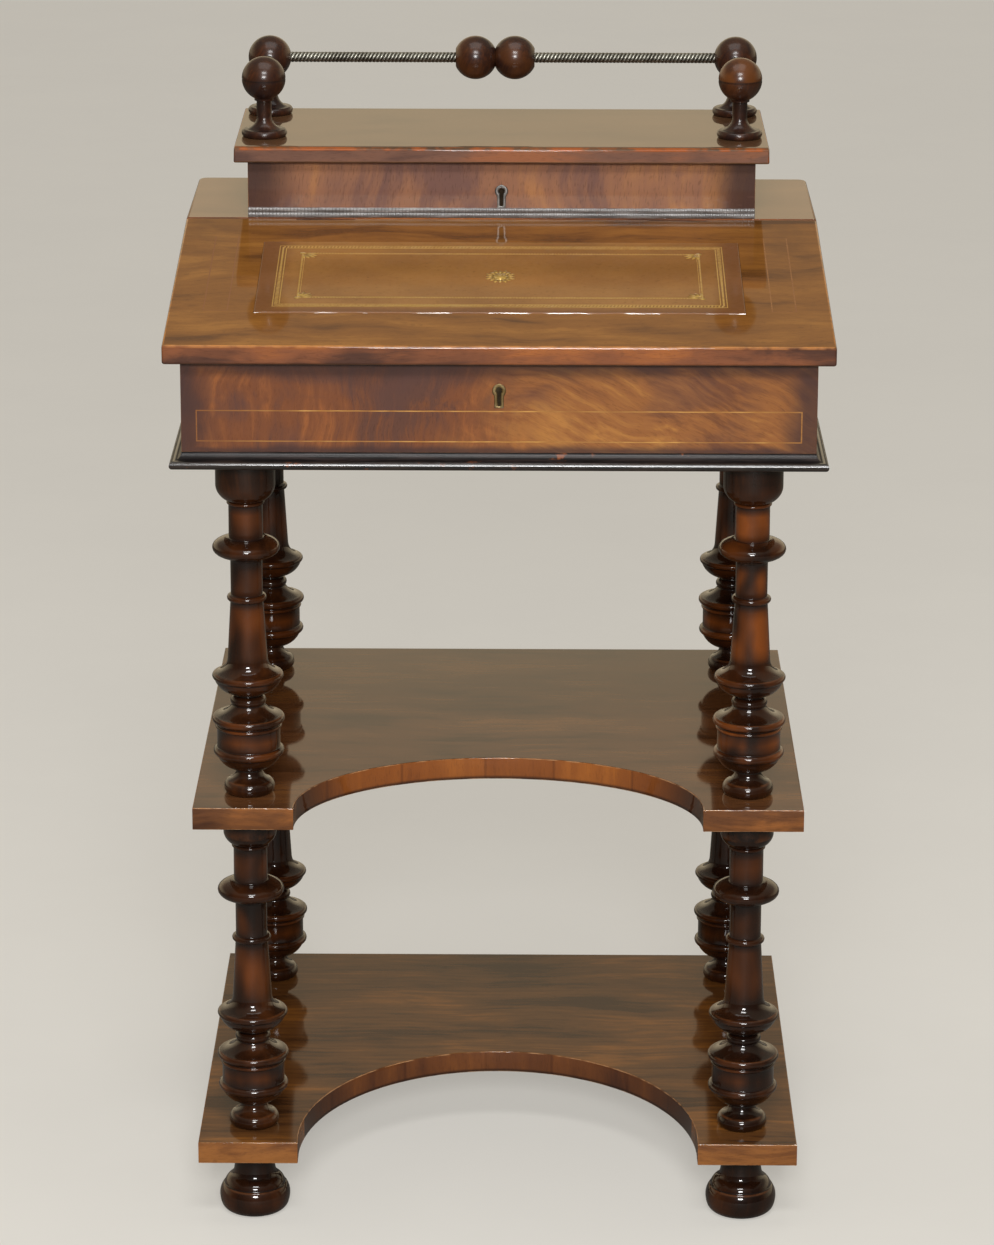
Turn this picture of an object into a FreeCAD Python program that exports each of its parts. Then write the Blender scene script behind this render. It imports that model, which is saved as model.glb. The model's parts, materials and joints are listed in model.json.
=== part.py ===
import FreeCAD, Part
import math
import os

from FreeCAD import Vector

# Davenport desk: a sloped writing box with a stationery box on top, standing on a
# three-tier stand of turned legs and cut-out shelves. Millimetres, +Z up, front towards -Y.

# Writing lid and fixed flat
lid_width = 540.0
desk_depth = 470.4
flat_depth = 169.0
lid_slope_angle = 7.5
lid_thickness = 16.0
lid_side_overhang = 13.7
lid_front_overhang = 13.4
lid_rest_gap = 0.3
lid_joint_gap = 0.4
lid_edge_round = 2.5
lid_side_round = 2.0
flat_corner_round = 8.0
hinge_edge_round = 3.0

# Leather writing surface
leather_side_margin = 69.5
leather_front_margin = 74.0
leather_hinge_margin = 62.0
leather_thickness = 1.2

# Case under the lid
case_back_inset = 10.0
case_front_thickness = 12.0
case_side_thickness = 12.0
case_back_thickness = 10.0
case_front_height = 76.5
base_side_overhang = 9.8
base_front_overhang = 9.8
base_back_overhang = 5.0
base_bead_height = 6.8
base_bead_round = 3.3
base_cove_radius = 6.3

# Boxwood line let into the case front
front_line_width = 1.0
front_line_depth = 1.0
front_line_side_margin = 12.0
front_line_bottom_margin = 8.6
front_line_height = 26.3

# Shelves, each with a lug on both sides of the round bite in its front edge
shelf_side_inset = 16.0
shelf_front_inset = 13.7
shelf_back_inset = 9.7
lower_shelf_thickness = 19.0
middle_shelf_thickness = 19.0
shelf_edge_round = 1.2
lower_lug_width = 86.0
lower_cut_straight = 16.0
lower_cut_depth = 189.0
middle_lug_width = 85.5
middle_cut_straight = 4.0
middle_cut_depth = 129.0

# Legs and feet
leg_side_inset = 46.0
leg_front_inset = 45.5
leg_back_inset = 55.5
foot_height = 58.9
lower_leg_height = 280.0
upper_leg_height = 292.0
lower_leg_cap_height = 21.0
upper_leg_cap_height = 24.0
leg_cap_radius = 22.5
leg_collar_height = 12.0
leg_collar_swell = 1.8
leg_bead_height = 3.2
leg_bead_swell = 1.8
upper_shaft_radius = 14.2
knop_radius = 28.4
knop_height = 22.4
middle_shaft_radius = 13.2
middle_shaft_height = 26.0
small_ring_height = 6.0
small_ring_swell = 3.4
taper_top_radius = 13.6
taper_bottom_radius = 17.0
taper_height = 49.5
flare_radius = 28.0
flare_top_height = 8.0
flare_top_swell = -2.4
flare_rim_height = 5.0
flare_rim_swell = 1.7
flare_under_height = 13.0
flare_under_swell = 3.4
neck_radius = 10.8
neck_height = 1.8
ball_radius = 13.6
ball_height = 7.5
ball_swell = 2.6
dome_height = 8.6
dome_swell = 1.6
dome_rim_radius = 29.2
dome_rim_height = 8.0
dome_rim_swell = 1.4
dome_under_height = 3.0
drum_radius = 26.3
drum_height = 20.0
lower_ring_height = 8.0
ring_swell = 4.2
bowl_height = 9.0
bowl_radius = 27.3
bowl_swell = 2.6
bell_radius = 18.4
bell_flare_height = 9.7
bell_flare_swell = -2.0
bell_rim_height = 11.0
bell_rim_swell = 2.8
foot_contact_radius = 23.5
foot_bun_top_radius = 24.5
foot_bun_height = 22.0
foot_bun_swell = 6.4
foot_step_height = 2.0
foot_neck_radius = 15.8
foot_shoulder_height = 8.0
foot_hollow_swell = -1.8
foot_neck_height = 10.0
foot_collar_radius = 20.5
foot_collar_height = 5.0
foot_collar_swell = 1.4

# Round tenons that join legs, shelves, feet and base board
tenon_radius = 8.0
tenon_clearance = 0.1
tenon_depth = 15.0
tenon_end_clearance = 0.5
top_tenon_depth = 9.5

# Stationery box
box_side_inset = 52.9
box_front_setback = 2.3
box_back_inset = 8.2
box_wall = 10.0
box_height = 49.4
box_lid_thickness = 13.5
box_lid_side_overhang = 11.15
box_lid_front_overhang = 13.4
box_lid_back_overhang = 4.2
box_lid_gap = 0.3
box_lid_edge_round = 1.5
reed_count = 2
reed_height = 4.2
reed_swell = 1.4
reed_backing = 0.5

# Gallery
finial_side_inset = 23.75
finial_front_inset = 50.9
finial_back_inset = 22.2
finial_base_radius = 17.8
finial_base_height = 6.5
finial_base_swell = 1.8
finial_shoulder_radius = 15.0
finial_flare_height = 13.5
finial_flare_swell = -3.0
finial_neck_radius = 6.4
finial_collar_radius = 8.2
finial_collar_height = 2.0
finial_ball_radius = 18.8
finial_ball_height = 50.0
finial_tenon_radius = 5.0
finial_tenon_depth = 8.0
gallery_rod_radius = 4.5
gallery_rod_clearance = 0.1
gallery_rod_socket = 9.0
bead_radius = 19.0
bead_length = 34.6
bead_offset = -6.5

# Hinges
knuckle_radius = 2.4
knuckle_clearance = 0.5
knuckle_end_gap = 0.3
hinge_pin_radius = 1.2
hinge_pin_clearance = 0.05
hinge_leaf_thickness = 1.5
hinge_leaf_width = 12.0
hinge_length = 50.0
hinge_recess_clearance = 0.3
writing_hinge_offset = 150.0
box_hinge_offset = 130.0

# Locks, with their keyholes and link plates
lock_width = 60.0
lock_height = 38.0
lock_thickness = 11.0
lock_wall = 1.2
lock_flange = 9.0
lock_flange_thickness = 1.5
lock_top_gap = 0.5
staple_offset = 14.0
staple_thickness = 2.4
staple_breadth = 4.4
staple_length = 9.0
staple_eye_breadth = 2.6
staple_eye_height = 4.4
staple_slot_clearance = 1.4
bolt_thickness = 1.6
bolt_travel = 5.0
bolt_finger_height = 2.4
bolt_finger_gap = 1.0
bolt_post_width = 2.5
bolt_bar_height = 5.0
bolt_bar_gap = 2.5
bolt_seat_gap = 0.3
bolt_seat_width = 7.0
bolt_seat_height = 2.7
link_plate_length = 46.0
link_plate_breadth = 9.0
link_plate_thickness = 1.6
keyhole_drop = 26.0
keyhole_radius = 2.2
keyhole_slot_width = 2.4
keyhole_slot_drop = 10.0
keyhole_clearance = 0.6
escutcheon_radius = 5.6
escutcheon_slot_width = 7.6
escutcheon_slot_drop = 14.5
escutcheon_thickness = 1.2

# Countersunk screws
screw_head_radius = 2.2
screw_head_height = 1.4
screw_shank_radius = 1.1
screw_length = 8.0
hinge_screw_spacing = 16.0
link_screw_offset = 5.5

# How far two lumps of one piece run into each other, and how near two places count as one
lump_overlap = 1.0
same_place = 0.01

# Levels and lines that follow from the sizes above
slope = math.radians(lid_slope_angle)
front_y = -desk_depth / 2
back_y = desk_depth / 2
hinge_line_y = back_y - flat_depth
slope_length = (hinge_line_y - front_y) / math.cos(slope)
lid_rear_y = hinge_line_y - lid_joint_gap / 2
flat_front_y = hinge_line_y + lid_joint_gap / 2
lower_shelf_top = foot_height + lower_shelf_thickness
middle_shelf_under = lower_shelf_top + lower_leg_height
middle_shelf_top = middle_shelf_under + middle_shelf_thickness
base_under = middle_shelf_top + upper_leg_height
base_top = base_under + base_bead_height + base_cove_radius
lid_drop = lid_thickness / math.cos(slope)
case_half_width = lid_width / 2 - lid_side_overhang
case_front_y = front_y + lid_front_overhang
lid_rise = (hinge_line_y - case_front_y) * math.tan(slope)
flat_top = base_top + case_front_height + lid_rest_gap + lid_drop + lid_rise
flat_under = flat_top - lid_thickness
case_back_y = back_y - case_back_inset
shelf_half_width = lid_width / 2 - shelf_side_inset
shelf_front_y = front_y + shelf_front_inset
shelf_back_y = back_y - shelf_back_inset
leg_x = shelf_half_width - leg_side_inset
leg_front_y = shelf_front_y + leg_front_inset
leg_back_y = shelf_back_y - leg_back_inset
box_half_width = lid_width / 2 - box_side_inset
box_front_y = hinge_line_y + box_front_setback
box_back_y = back_y - box_back_inset
box_top = flat_top + box_height
box_lid_under = box_top + box_lid_gap
box_lid_top = box_lid_under + box_lid_thickness
box_lid_front_y = box_front_y - box_lid_front_overhang
box_lid_back_y = box_back_y + box_lid_back_overhang
box_lid_half_width = box_half_width + box_lid_side_overhang
finial_x = box_lid_half_width - finial_side_inset
finial_front_y = box_lid_front_y + finial_front_inset
finial_back_y = box_lid_back_y - finial_back_inset
gallery_z = box_lid_top + finial_ball_height
rod_end_depth = finial_ball_radius - gallery_rod_socket
writing_axis_y = lid_rear_y - hinge_edge_round
writing_axis_drop = (hinge_line_y - writing_axis_y) * math.tan(slope) + hinge_edge_round / math.cos(slope)
writing_axis_z = flat_top - writing_axis_drop
box_axis_y = box_lid_back_y
box_axis_z = box_top + box_lid_gap / 2
knuckle_room = knuckle_radius + knuckle_clearance
reach = 2 * lid_width

shapes = {}


def block(x_span, y_span, z_span):
    size = [span[1] - span[0] for span in (x_span, y_span, z_span)]
    return Part.makeBox(*size, Vector(x_span[0], y_span[0], z_span[0]))


def cylinder(radius, start, end):
    along = end - start
    return Part.makeCylinder(radius, along.Length, start, along)


def outline_prism(points, direction):
    corners = [Vector(*point) for point in points]
    return Part.Face(Part.makePolygon(corners + corners[:1])).extrude(direction)


def joined(pieces):
    whole = pieces[0]
    for piece in pieces[1:]:
        whole = whole.fuse(piece)
    return whole.removeSplitter()


def rounded(shape, radius, chosen):
    edges = [edge for edge in shape.Edges if chosen(edge.BoundBox)]
    return shape.makeFillet(radius, edges)


def at_level(box, z):
    return abs(box.ZMin - z) < same_place and abs(box.ZMax - z) < same_place


def at_x(box, x):
    return abs(box.XMin - x) < same_place and abs(box.XMax - x) < same_place


def at_y(box, y):
    return abs(box.YMin - y) < same_place and abs(box.YMax - y) < same_place


def slope_level(y):
    return flat_top - (hinge_line_y - y) * math.tan(slope)


def lid_under(y):
    return slope_level(y) - lid_drop


# Tilts a shape made flat, with Y running up the slope, and sets its origin at a place on the lid
def on_slope(shape, y, z):
    tilt = FreeCAD.Rotation(Vector(1, 0, 0), lid_slope_angle)
    placed = shape.copy()
    placed.Placement = FreeCAD.Placement(Vector(0, y, z), tilt)
    return placed


# Turned work: an outline of (radius, height) steps from the bottom up. A third number bows
# the step outwards by that much, and a fourth makes it an arc through that radius and height.
def turned(steps):
    start = Vector(steps[0][0], 0, steps[0][1])
    edges = [Part.makeLine(Vector(0, 0, start.z), start)]
    for step in steps[1:]:
        end = Vector(step[0], 0, step[1])
        if len(step) == 2:
            edges.append(Part.makeLine(start, end))
        else:
            middle = Vector(step[2], 0, step[-1])
            if len(step) == 3:
                chord = end - start
                outward = Vector(chord.z, 0, -chord.x).normalize()
                middle = (start + end) * 0.5 + outward * step[2]
            edges.append(Part.Arc(start, middle, end).toShape())
        start = end
    top = Vector(0, 0, start.z)
    if start.x > 0:
        edges.append(Part.makeLine(start, top))
    edges.append(Part.makeLine(top, Vector(0, 0, steps[0][1])))
    return Part.Face(Part.Wire(edges)).revolve(Vector(0, 0, 0), Vector(0, 0, 1), 360)


def stacked(start_radius, moves):
    height = 0.0
    steps = [(start_radius, height)]
    for rise, radius, *bow in moves:
        height += rise
        steps.append((radius, height, *bow))
    return steps


def leg_steps(height, cap_height):
    below_knop = [
        (bell_rim_height, bell_radius, bell_rim_swell),
        (bell_flare_height, neck_radius, bell_flare_swell),
        (bowl_height, bowl_radius, bowl_swell),
        (lower_ring_height, drum_radius, ring_swell),
        (drum_height, drum_radius),
        (dome_under_height, dome_rim_radius),
        (dome_rim_height, dome_rim_radius, dome_rim_swell),
        (dome_height, ball_radius, dome_swell),
        (ball_height, neck_radius, ball_swell),
        (neck_height, neck_radius),
        (flare_under_height, flare_radius, flare_under_swell),
        (flare_rim_height, flare_radius, flare_rim_swell),
        (flare_top_height, taper_bottom_radius, flare_top_swell),
        (taper_height, taper_top_radius),
        (small_ring_height, middle_shaft_radius, small_ring_swell),
        (middle_shaft_height, middle_shaft_radius),
        (leg_bead_height, middle_shaft_radius, leg_bead_swell),
    ]
    knop_swell = knop_radius - (middle_shaft_radius + upper_shaft_radius) / 2
    below_shaft = below_knop + [(knop_height, upper_shaft_radius, knop_swell)]
    above_shaft = [
        (leg_bead_height, upper_shaft_radius, leg_bead_swell),
        (leg_collar_height, leg_cap_radius, leg_collar_swell),
        (cap_height, leg_cap_radius),
    ]
    taken = sum(move[0] for move in below_shaft + above_shaft)
    shaft = (height - taken, upper_shaft_radius)
    return stacked(bell_radius, below_shaft + [shaft] + above_shaft)


def foot_steps():
    moves = [
        (foot_bun_height, foot_bun_top_radius, foot_bun_swell),
        (foot_step_height, foot_bun_top_radius),
        (foot_shoulder_height, foot_neck_radius, foot_hollow_swell),
        (foot_neck_height, foot_neck_radius),
    ]
    taken = sum(move[0] for move in moves) + foot_collar_height
    moves.append((foot_height - taken, foot_collar_radius, foot_hollow_swell))
    moves.append((foot_collar_height, foot_collar_radius, foot_collar_swell))
    return stacked(foot_contact_radius, moves)


def tenon(low, high):
    return cylinder(tenon_radius, Vector(0, 0, low), Vector(0, 0, high))


def tenon_socket(depth, place):
    return cylinder(tenon_radius + tenon_clearance, place, place + Vector(0, 0, depth))


leg_places = {
    "front_left": (-leg_x, leg_front_y),
    "front_right": (leg_x, leg_front_y),
    "back_left": (-leg_x, leg_back_y),
    "back_right": (leg_x, leg_back_y),
}
socket_depth = tenon_depth + tenon_end_clearance


# Feet, lower legs and upper legs, each with its tenon or socket
def make_legs():
    foot = turned(foot_steps())
    foot = foot.cut(tenon_socket(socket_depth, Vector(0, 0, foot_height - socket_depth)))
    lower = turned(leg_steps(lower_leg_height, lower_leg_cap_height))
    lower = lower.cut(tenon_socket(socket_depth, Vector(0, 0, lower_leg_height - socket_depth)))
    lower = joined([lower, tenon(-lower_shelf_thickness - tenon_depth, lump_overlap)])
    upper = turned(leg_steps(upper_leg_height, upper_leg_cap_height))
    upper = joined([upper, tenon(-middle_shelf_thickness - tenon_depth, lump_overlap)])
    upper = joined([upper, tenon(upper_leg_height - lump_overlap, upper_leg_height + top_tenon_depth)])
    for corner, (x, y) in leg_places.items():
        shapes[corner + "_foot"] = foot.translated(Vector(x, y, 0))
        shapes[corner + "_lower_leg"] = lower.translated(Vector(x, y, lower_shelf_top))
        shapes[corner + "_upper_leg"] = upper.translated(Vector(x, y, middle_shelf_top))


# The round bite in a shelf's front edge: half an ellipse, with a straight run before it
def front_cut(half_width, straight, depth, z_span):
    center = Vector(0, shelf_front_y + straight, z_span[0])
    side = center + Vector(half_width, 0, 0)
    rear = center + Vector(0, depth, 0)
    ends = (side, rear) if half_width >= depth else (rear, side)
    ring = Part.Wire(Part.Ellipse(*ends, center).toShape())
    height = Vector(0, 0, z_span[1] - z_span[0])
    bite = Part.Face(ring).extrude(height)
    mouth = block((-half_width, half_width), (shelf_front_y - depth, center.y), z_span)
    return joined([bite, mouth])


def make_shelf(under, thickness, cut_sizes):
    top = under + thickness
    z_span = (under, top)
    shelf = block((-shelf_half_width, shelf_half_width), (shelf_front_y, shelf_back_y), z_span)
    shelf = shelf.cut(front_cut(*cut_sizes, z_span))
    shelf = rounded(shelf, shelf_edge_round, lambda box: at_level(box, under) or at_level(box, top))
    for x, y in leg_places.values():
        shelf = shelf.cut(tenon_socket(thickness, Vector(x, y, under)))
    return shelf


# The case's bottom board: a round black bead, with a hollow above it up to the case
def make_base_board():
    board_x = case_half_width + base_side_overhang
    board_front = case_front_y - base_front_overhang
    board_back = case_back_y + base_back_overhang
    bead_top = base_under + base_bead_height
    plate = block((-board_x, board_x), (board_front, board_back), (base_under, bead_top))
    plate = rounded(
        plate,
        base_bead_round,
        lambda box: (at_level(box, base_under) or at_level(box, bead_top)) and not at_y(box, board_back),
    )
    step_x = case_half_width + base_cove_radius
    step_front = case_front_y - base_cove_radius
    step = block((-step_x, step_x), (step_front, case_back_y), (bead_top - lump_overlap, base_top))
    for start, end in (
        (Vector(-reach, step_front, base_top), Vector(reach, step_front, base_top)),
        (Vector(-step_x, -reach, base_top), Vector(-step_x, reach, base_top)),
        (Vector(step_x, -reach, base_top), Vector(step_x, reach, base_top)),
    ):
        step = step.cut(cylinder(base_cove_radius, start, end))
    board = joined([plate, step])
    for x, y in leg_places.values():
        socket = tenon_socket(top_tenon_depth + tenon_end_clearance, Vector(x, y, base_under))
        board = board.cut(socket)
    return board


# Countersunk screws: the head's flat face is at the given place and the point lies along the way in
def screw(place, inward):
    head = Part.makeCone(screw_head_radius, screw_shank_radius, screw_head_height, place, inward)
    shank = cylinder(screw_shank_radius, place, place + inward * screw_length)
    return joined([head, shank])


def screws(places, inward):
    return [screw(place, inward) for place in places]


# Keyhole outline along Y: a round hole with a slot hanging below its centre
def keyhole(sizes, y_span, z):
    radius, slot_width, slot_drop = sizes
    eye = cylinder(radius, Vector(0, y_span[0], z), Vector(0, y_span[1], z))
    slot = block((-slot_width / 2, slot_width / 2), y_span, (z - slot_drop, z))
    return joined([eye, slot])


staple_end = staple_eye_height / 2 + bolt_thickness
eye_depth = staple_length - staple_end
key_opening = (keyhole_radius, keyhole_slot_width, keyhole_slot_drop)
escutcheon_outline = (escutcheon_radius, escutcheon_slot_width, escutcheon_slot_drop)
key_passage = (
    keyhole_radius + keyhole_clearance,
    keyhole_slot_width + 2 * keyhole_clearance,
    keyhole_slot_drop + keyhole_clearance,
)


# A lock on the inner face of a front panel: a hollow box with a flange, two slots in its top
# for the link plate's staples, and two seats that carry the sliding bolt
def make_lock(inner_y, top, eye_level):
    half = lock_width / 2
    center_y = inner_y + lock_thickness / 2
    body = block((-half, half), (inner_y, inner_y + lock_thickness), (top - lock_height, top))
    flange_x = half + lock_flange
    flange_y = (inner_y, inner_y + lock_flange_thickness)
    flange = block((-flange_x, flange_x), flange_y, (top - lock_height, top))
    case = joined([body, flange])
    hollow_x = (-half + lock_wall, half - lock_wall)
    hollow_y = (flange_y[1], inner_y + lock_thickness - lock_wall)
    case = case.cut(block(hollow_x, hollow_y, (top - lock_height + lock_wall, top - lock_wall)))
    slot_half_x = staple_thickness / 2 + staple_slot_clearance
    for x in (-staple_offset, staple_offset):
        case = case.cut(block((x - slot_half_x, x + slot_half_x), hollow_y, (top - lock_wall, top)))
    case = case.cut(keyhole(key_opening, flange_y, top - keyhole_drop))

    finger_z = (eye_level - bolt_finger_height / 2, eye_level + bolt_finger_height / 2)
    bar_top = eye_level - staple_end - bolt_bar_gap
    bolt_y = (center_y - bolt_thickness / 2, center_y + bolt_thickness / 2)
    finger_reach = bolt_travel + bolt_finger_gap + bolt_post_width
    pieces = []
    for x in (-staple_offset, staple_offset):
        tip = x - staple_thickness / 2 - bolt_finger_gap
        post_x = (tip - finger_reach, tip - finger_reach + bolt_post_width)
        pieces.append(block((post_x[0], tip), bolt_y, finger_z))
        pieces.append(block(post_x, bolt_y, (bar_top - bolt_bar_height, finger_z[1])))
    bar_x = (-staple_offset - staple_thickness / 2 - bolt_finger_gap - finger_reach, tip)
    pieces.append(block(bar_x, bolt_y, (bar_top - bolt_bar_height, bar_top)))
    bolt = joined(pieces)

    seat_top = bar_top - bolt_bar_height - bolt_seat_gap
    for x in (bar_x[0] + bolt_travel, bar_x[1] - bolt_seat_width):
        seat = block((x, x + bolt_seat_width), hollow_y, (seat_top - bolt_seat_height, seat_top))
        case = joined([case, seat])
    screw_x = half + lock_flange / 2
    places = [Vector(x, flange_y[1], top - lock_height / 2) for x in (-screw_x, screw_x)]
    fixings = screws(places, Vector(0, -1, 0))
    return case, bolt, fixings


# Link plate in a lid's underside, with two staples that hang into the lock. It is made flat,
# with its face at level zero and its middle on the Z axis.
def make_link_plate():
    half = link_plate_length / 2
    half_breadth = link_plate_breadth / 2
    pieces = [block((-half, half), (-half_breadth, half_breadth), (0, link_plate_thickness))]
    eye_low = -staple_length + bolt_thickness
    eye_z = (eye_low, eye_low + staple_eye_height)
    for x in (-staple_offset, staple_offset):
        x_span = (x - staple_thickness / 2, x + staple_thickness / 2)
        staple = block(x_span, (-staple_breadth / 2, staple_breadth / 2), (-staple_length, 0))
        eye = block(x_span, (-staple_eye_breadth / 2, staple_eye_breadth / 2), eye_z)
        pieces.append(staple.cut(eye))
    places = [Vector(x, 0, 0) for x in (-link_screw_offset, link_screw_offset)]
    fixings = screws(places, Vector(0, 0, 1))
    plate = joined(pieces)
    for fixing in fixings:
        plate = plate.cut(fixing)
    return plate, fixings


# Butt hinges along X. Each is three knuckles on a pin: the outer two belong to the fixed leaf.
def knuckle_spans(x):
    length = hinge_length / 3
    start = x - hinge_length / 2
    gap = knuckle_end_gap / 2
    middle = (start + length + gap, start + 2 * length - gap)
    outer = [(start, start + length - gap), (start + 2 * length + gap, start + hinge_length)]
    return middle, outer


def barrel(x_span, axis_y, axis_z):
    ends = [Vector(x, axis_y, axis_z) for x in x_span]
    bore = cylinder(hinge_pin_radius + hinge_pin_clearance, *ends)
    return cylinder(knuckle_radius, *ends).cut(bore)


def hinge_bore(x, axis_y, axis_z):
    ends = [Vector(x + side * hinge_length, axis_y, axis_z) for side in (-1, 1)]
    return cylinder(hinge_pin_radius + hinge_pin_clearance, *ends)


def hinge_pin(x, axis_y, axis_z):
    ends = [Vector(x + side * hinge_length / 2, axis_y, axis_z) for side in (-1, 1)]
    return cylinder(hinge_pin_radius, *ends)


def corner_arc(center, radius, angles):
    points = []
    for angle in (angles[0], (angles[0] + angles[1]) / 2, angles[1]):
        turn = math.radians(angle)
        points.append(center + Vector(0, math.cos(turn), math.sin(turn)) * radius)
    return points


# The lid's end outline: a sloped board with rounded front edges and a round hinge edge whose
# centre is the hinge axis
def lid_outline():
    inset_y = front_y + lid_edge_round
    inset = lid_edge_round / math.cos(slope)
    hinge_center = Vector(0, writing_axis_y, writing_axis_z)
    upper_center = Vector(0, inset_y, slope_level(inset_y) - inset)
    lower_center = Vector(0, inset_y, lid_under(inset_y) + inset)
    arcs = [
        corner_arc(hinge_center, hinge_edge_round, (0, 90 + lid_slope_angle)),
        corner_arc(upper_center, lid_edge_round, (90 + lid_slope_angle, 180)),
        corner_arc(lower_center, lid_edge_round, (180, 270 + lid_slope_angle)),
    ]
    rear_corner = Vector(0, lid_rear_y, lid_under(lid_rear_y))
    edges = []
    previous = rear_corner
    for arc in arcs:
        edges.append(Part.makeLine(previous, arc[0]))
        edges.append(Part.Arc(*arc).toShape())
        previous = arc[2]
    edges.append(Part.makeLine(previous, rear_corner))
    return Part.Face(Part.Wire(edges))


def make_lid_board():
    half = lid_width / 2
    board = lid_outline().extrude(Vector(lid_width, 0, 0)).translated(Vector(-half, 0, 0))
    return rounded(board, lid_side_round, lambda box: at_x(box, -half) or at_x(box, half))


# The fixed flat behind the lid, which carries the stationery box
def make_flat():
    half = lid_width / 2
    flat = block((-half, half), (flat_front_y, back_y), (flat_under, flat_top))
    flat = rounded(
        flat,
        flat_corner_round,
        lambda box: at_y(box, back_y) and (at_x(box, half) or at_x(box, -half)),
    )
    return rounded(
        flat,
        lid_side_round,
        lambda box: (at_level(box, flat_under) or at_level(box, flat_top)) and not at_y(box, flat_front_y),
    )


def across(half_width, outline):
    points = [(-half_width, y, z) for y, z in outline]
    return outline_prism(points, Vector(2 * half_width, 0, 0))


def make_case_front():
    inner_y = case_front_y + case_front_thickness
    outline = [
        (case_front_y, base_top),
        (inner_y, base_top),
        (inner_y, lid_under(inner_y) - lid_rest_gap),
        (case_front_y, lid_under(case_front_y) - lid_rest_gap),
    ]
    return across(case_half_width, outline)


def make_case_side():
    inner_y = case_front_y + case_front_thickness
    outline = [
        (inner_y, base_top),
        (case_back_y, base_top),
        (case_back_y, flat_under),
        (hinge_line_y, flat_under),
        (hinge_line_y, lid_under(hinge_line_y) - lid_rest_gap),
        (inner_y, lid_under(inner_y) - lid_rest_gap),
    ]
    return across(case_side_thickness / 2, outline)


def make_case():
    side = make_case_side()
    side_x = case_half_width - case_side_thickness / 2
    shapes["case_left_side"] = side.translated(Vector(-side_x, 0, 0))
    shapes["case_right_side"] = side.translated(Vector(side_x, 0, 0))
    back_half = case_half_width - case_side_thickness
    shapes["case_back"] = block(
        (-back_half, back_half), (case_back_y - case_back_thickness, case_back_y), (base_top, flat_under)
    )


# A front panel's lock, escutcheon and keyhole, cut into the panel
def fit_lock(name, panel, outer_y, inner_y, top, eye_level):
    case, bolt, fixings = make_lock(inner_y, top, eye_level)
    for fixing in fixings:
        case = case.cut(fixing)
        panel = panel.cut(fixing)
    level = top - keyhole_drop
    plate_y = (outer_y, outer_y + escutcheon_thickness)
    panel = panel.cut(keyhole(key_passage, (outer_y, inner_y), level))
    plate = keyhole(escutcheon_outline, plate_y, level)
    panel = panel.cut(plate)
    shapes[name + "_lock_case"] = case
    shapes[name + "_lock_bolt"] = bolt
    shapes[name + "_escutcheon"] = plate.cut(keyhole(key_opening, plate_y, level))
    return panel, fixings


# Leaves, pins and screws of the lid's two hinges, and the recesses that they lie in
def fit_writing_hinges(lid, flat):
    y = writing_axis_y
    z = writing_axis_z
    low = z - hinge_leaf_width
    recess_low = low - hinge_recess_clearance
    fixed_top = z + hinge_leaf_thickness
    moving_top = z - knuckle_room
    fixed, moving, pins, fixed_screws, moving_screws = [], [], [], [], []
    for x in (-writing_hinge_offset, writing_hinge_offset):
        x_span = (x - hinge_length / 2, x + hinge_length / 2)
        wide = (x_span[0] - hinge_recess_clearance, x_span[1] + hinge_recess_clearance)
        middle, outer = knuckle_spans(x)
        offsets = [x + side * hinge_screw_spacing for side in (-1, 0, 1)]

        plate_y = (flat_front_y, flat_front_y + hinge_leaf_thickness)
        leaf = [block(x_span, plate_y, (low, fixed_top))]
        for span in outer:
            leaf.append(block(span, (y, plate_y[1]), (z, fixed_top)))
            leaf.append(barrel(span, y, z))
        places = [Vector(offset, flat_front_y, z - hinge_leaf_width / 2) for offset in offsets]
        fixings = screws(places, Vector(0, 1, 0))
        leaf = joined(leaf).cut(hinge_bore(x, y, z))
        flat = flat.cut(block(wide, plate_y, (recess_low, fixed_top + hinge_recess_clearance)))
        for fixing in fixings:
            leaf = leaf.cut(fixing)
            flat = flat.cut(fixing)
        fixed.append(leaf)
        fixed_screws += fixings

        plate_y = (lid_rear_y - hinge_leaf_thickness, lid_rear_y)
        leaf = [block(x_span, plate_y, (low, moving_top)), block(middle, plate_y, (low, z))]
        leaf.append(barrel(middle, y, z))
        places = [Vector(offset, lid_rear_y, (low + moving_top) / 2) for offset in offsets]
        fixings = screws(places, Vector(0, -1, 0))
        leaf = joined(leaf).cut(hinge_bore(x, y, z))
        lid = lid.cut(block(wide, plate_y, (recess_low, z)))
        lid = lid.cut(block(wide, (y - knuckle_room, lid_rear_y), (z, flat_top)))
        lid = lid.cut(cylinder(knuckle_room, Vector(wide[0], y, z), Vector(wide[1], y, z)))
        for fixing in fixings:
            leaf = leaf.cut(fixing)
            lid = lid.cut(fixing)
        moving.append(leaf)
        moving_screws += fixings
        pins.append(hinge_pin(x, y, z))
    shapes["writing_hinge_fixed_leaves"] = Part.makeCompound(fixed)
    shapes["writing_hinge_lid_leaves"] = Part.makeCompound(moving)
    shapes["writing_hinge_pins"] = Part.makeCompound(pins)
    return lid, flat, fixed_screws, moving_screws


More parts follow.
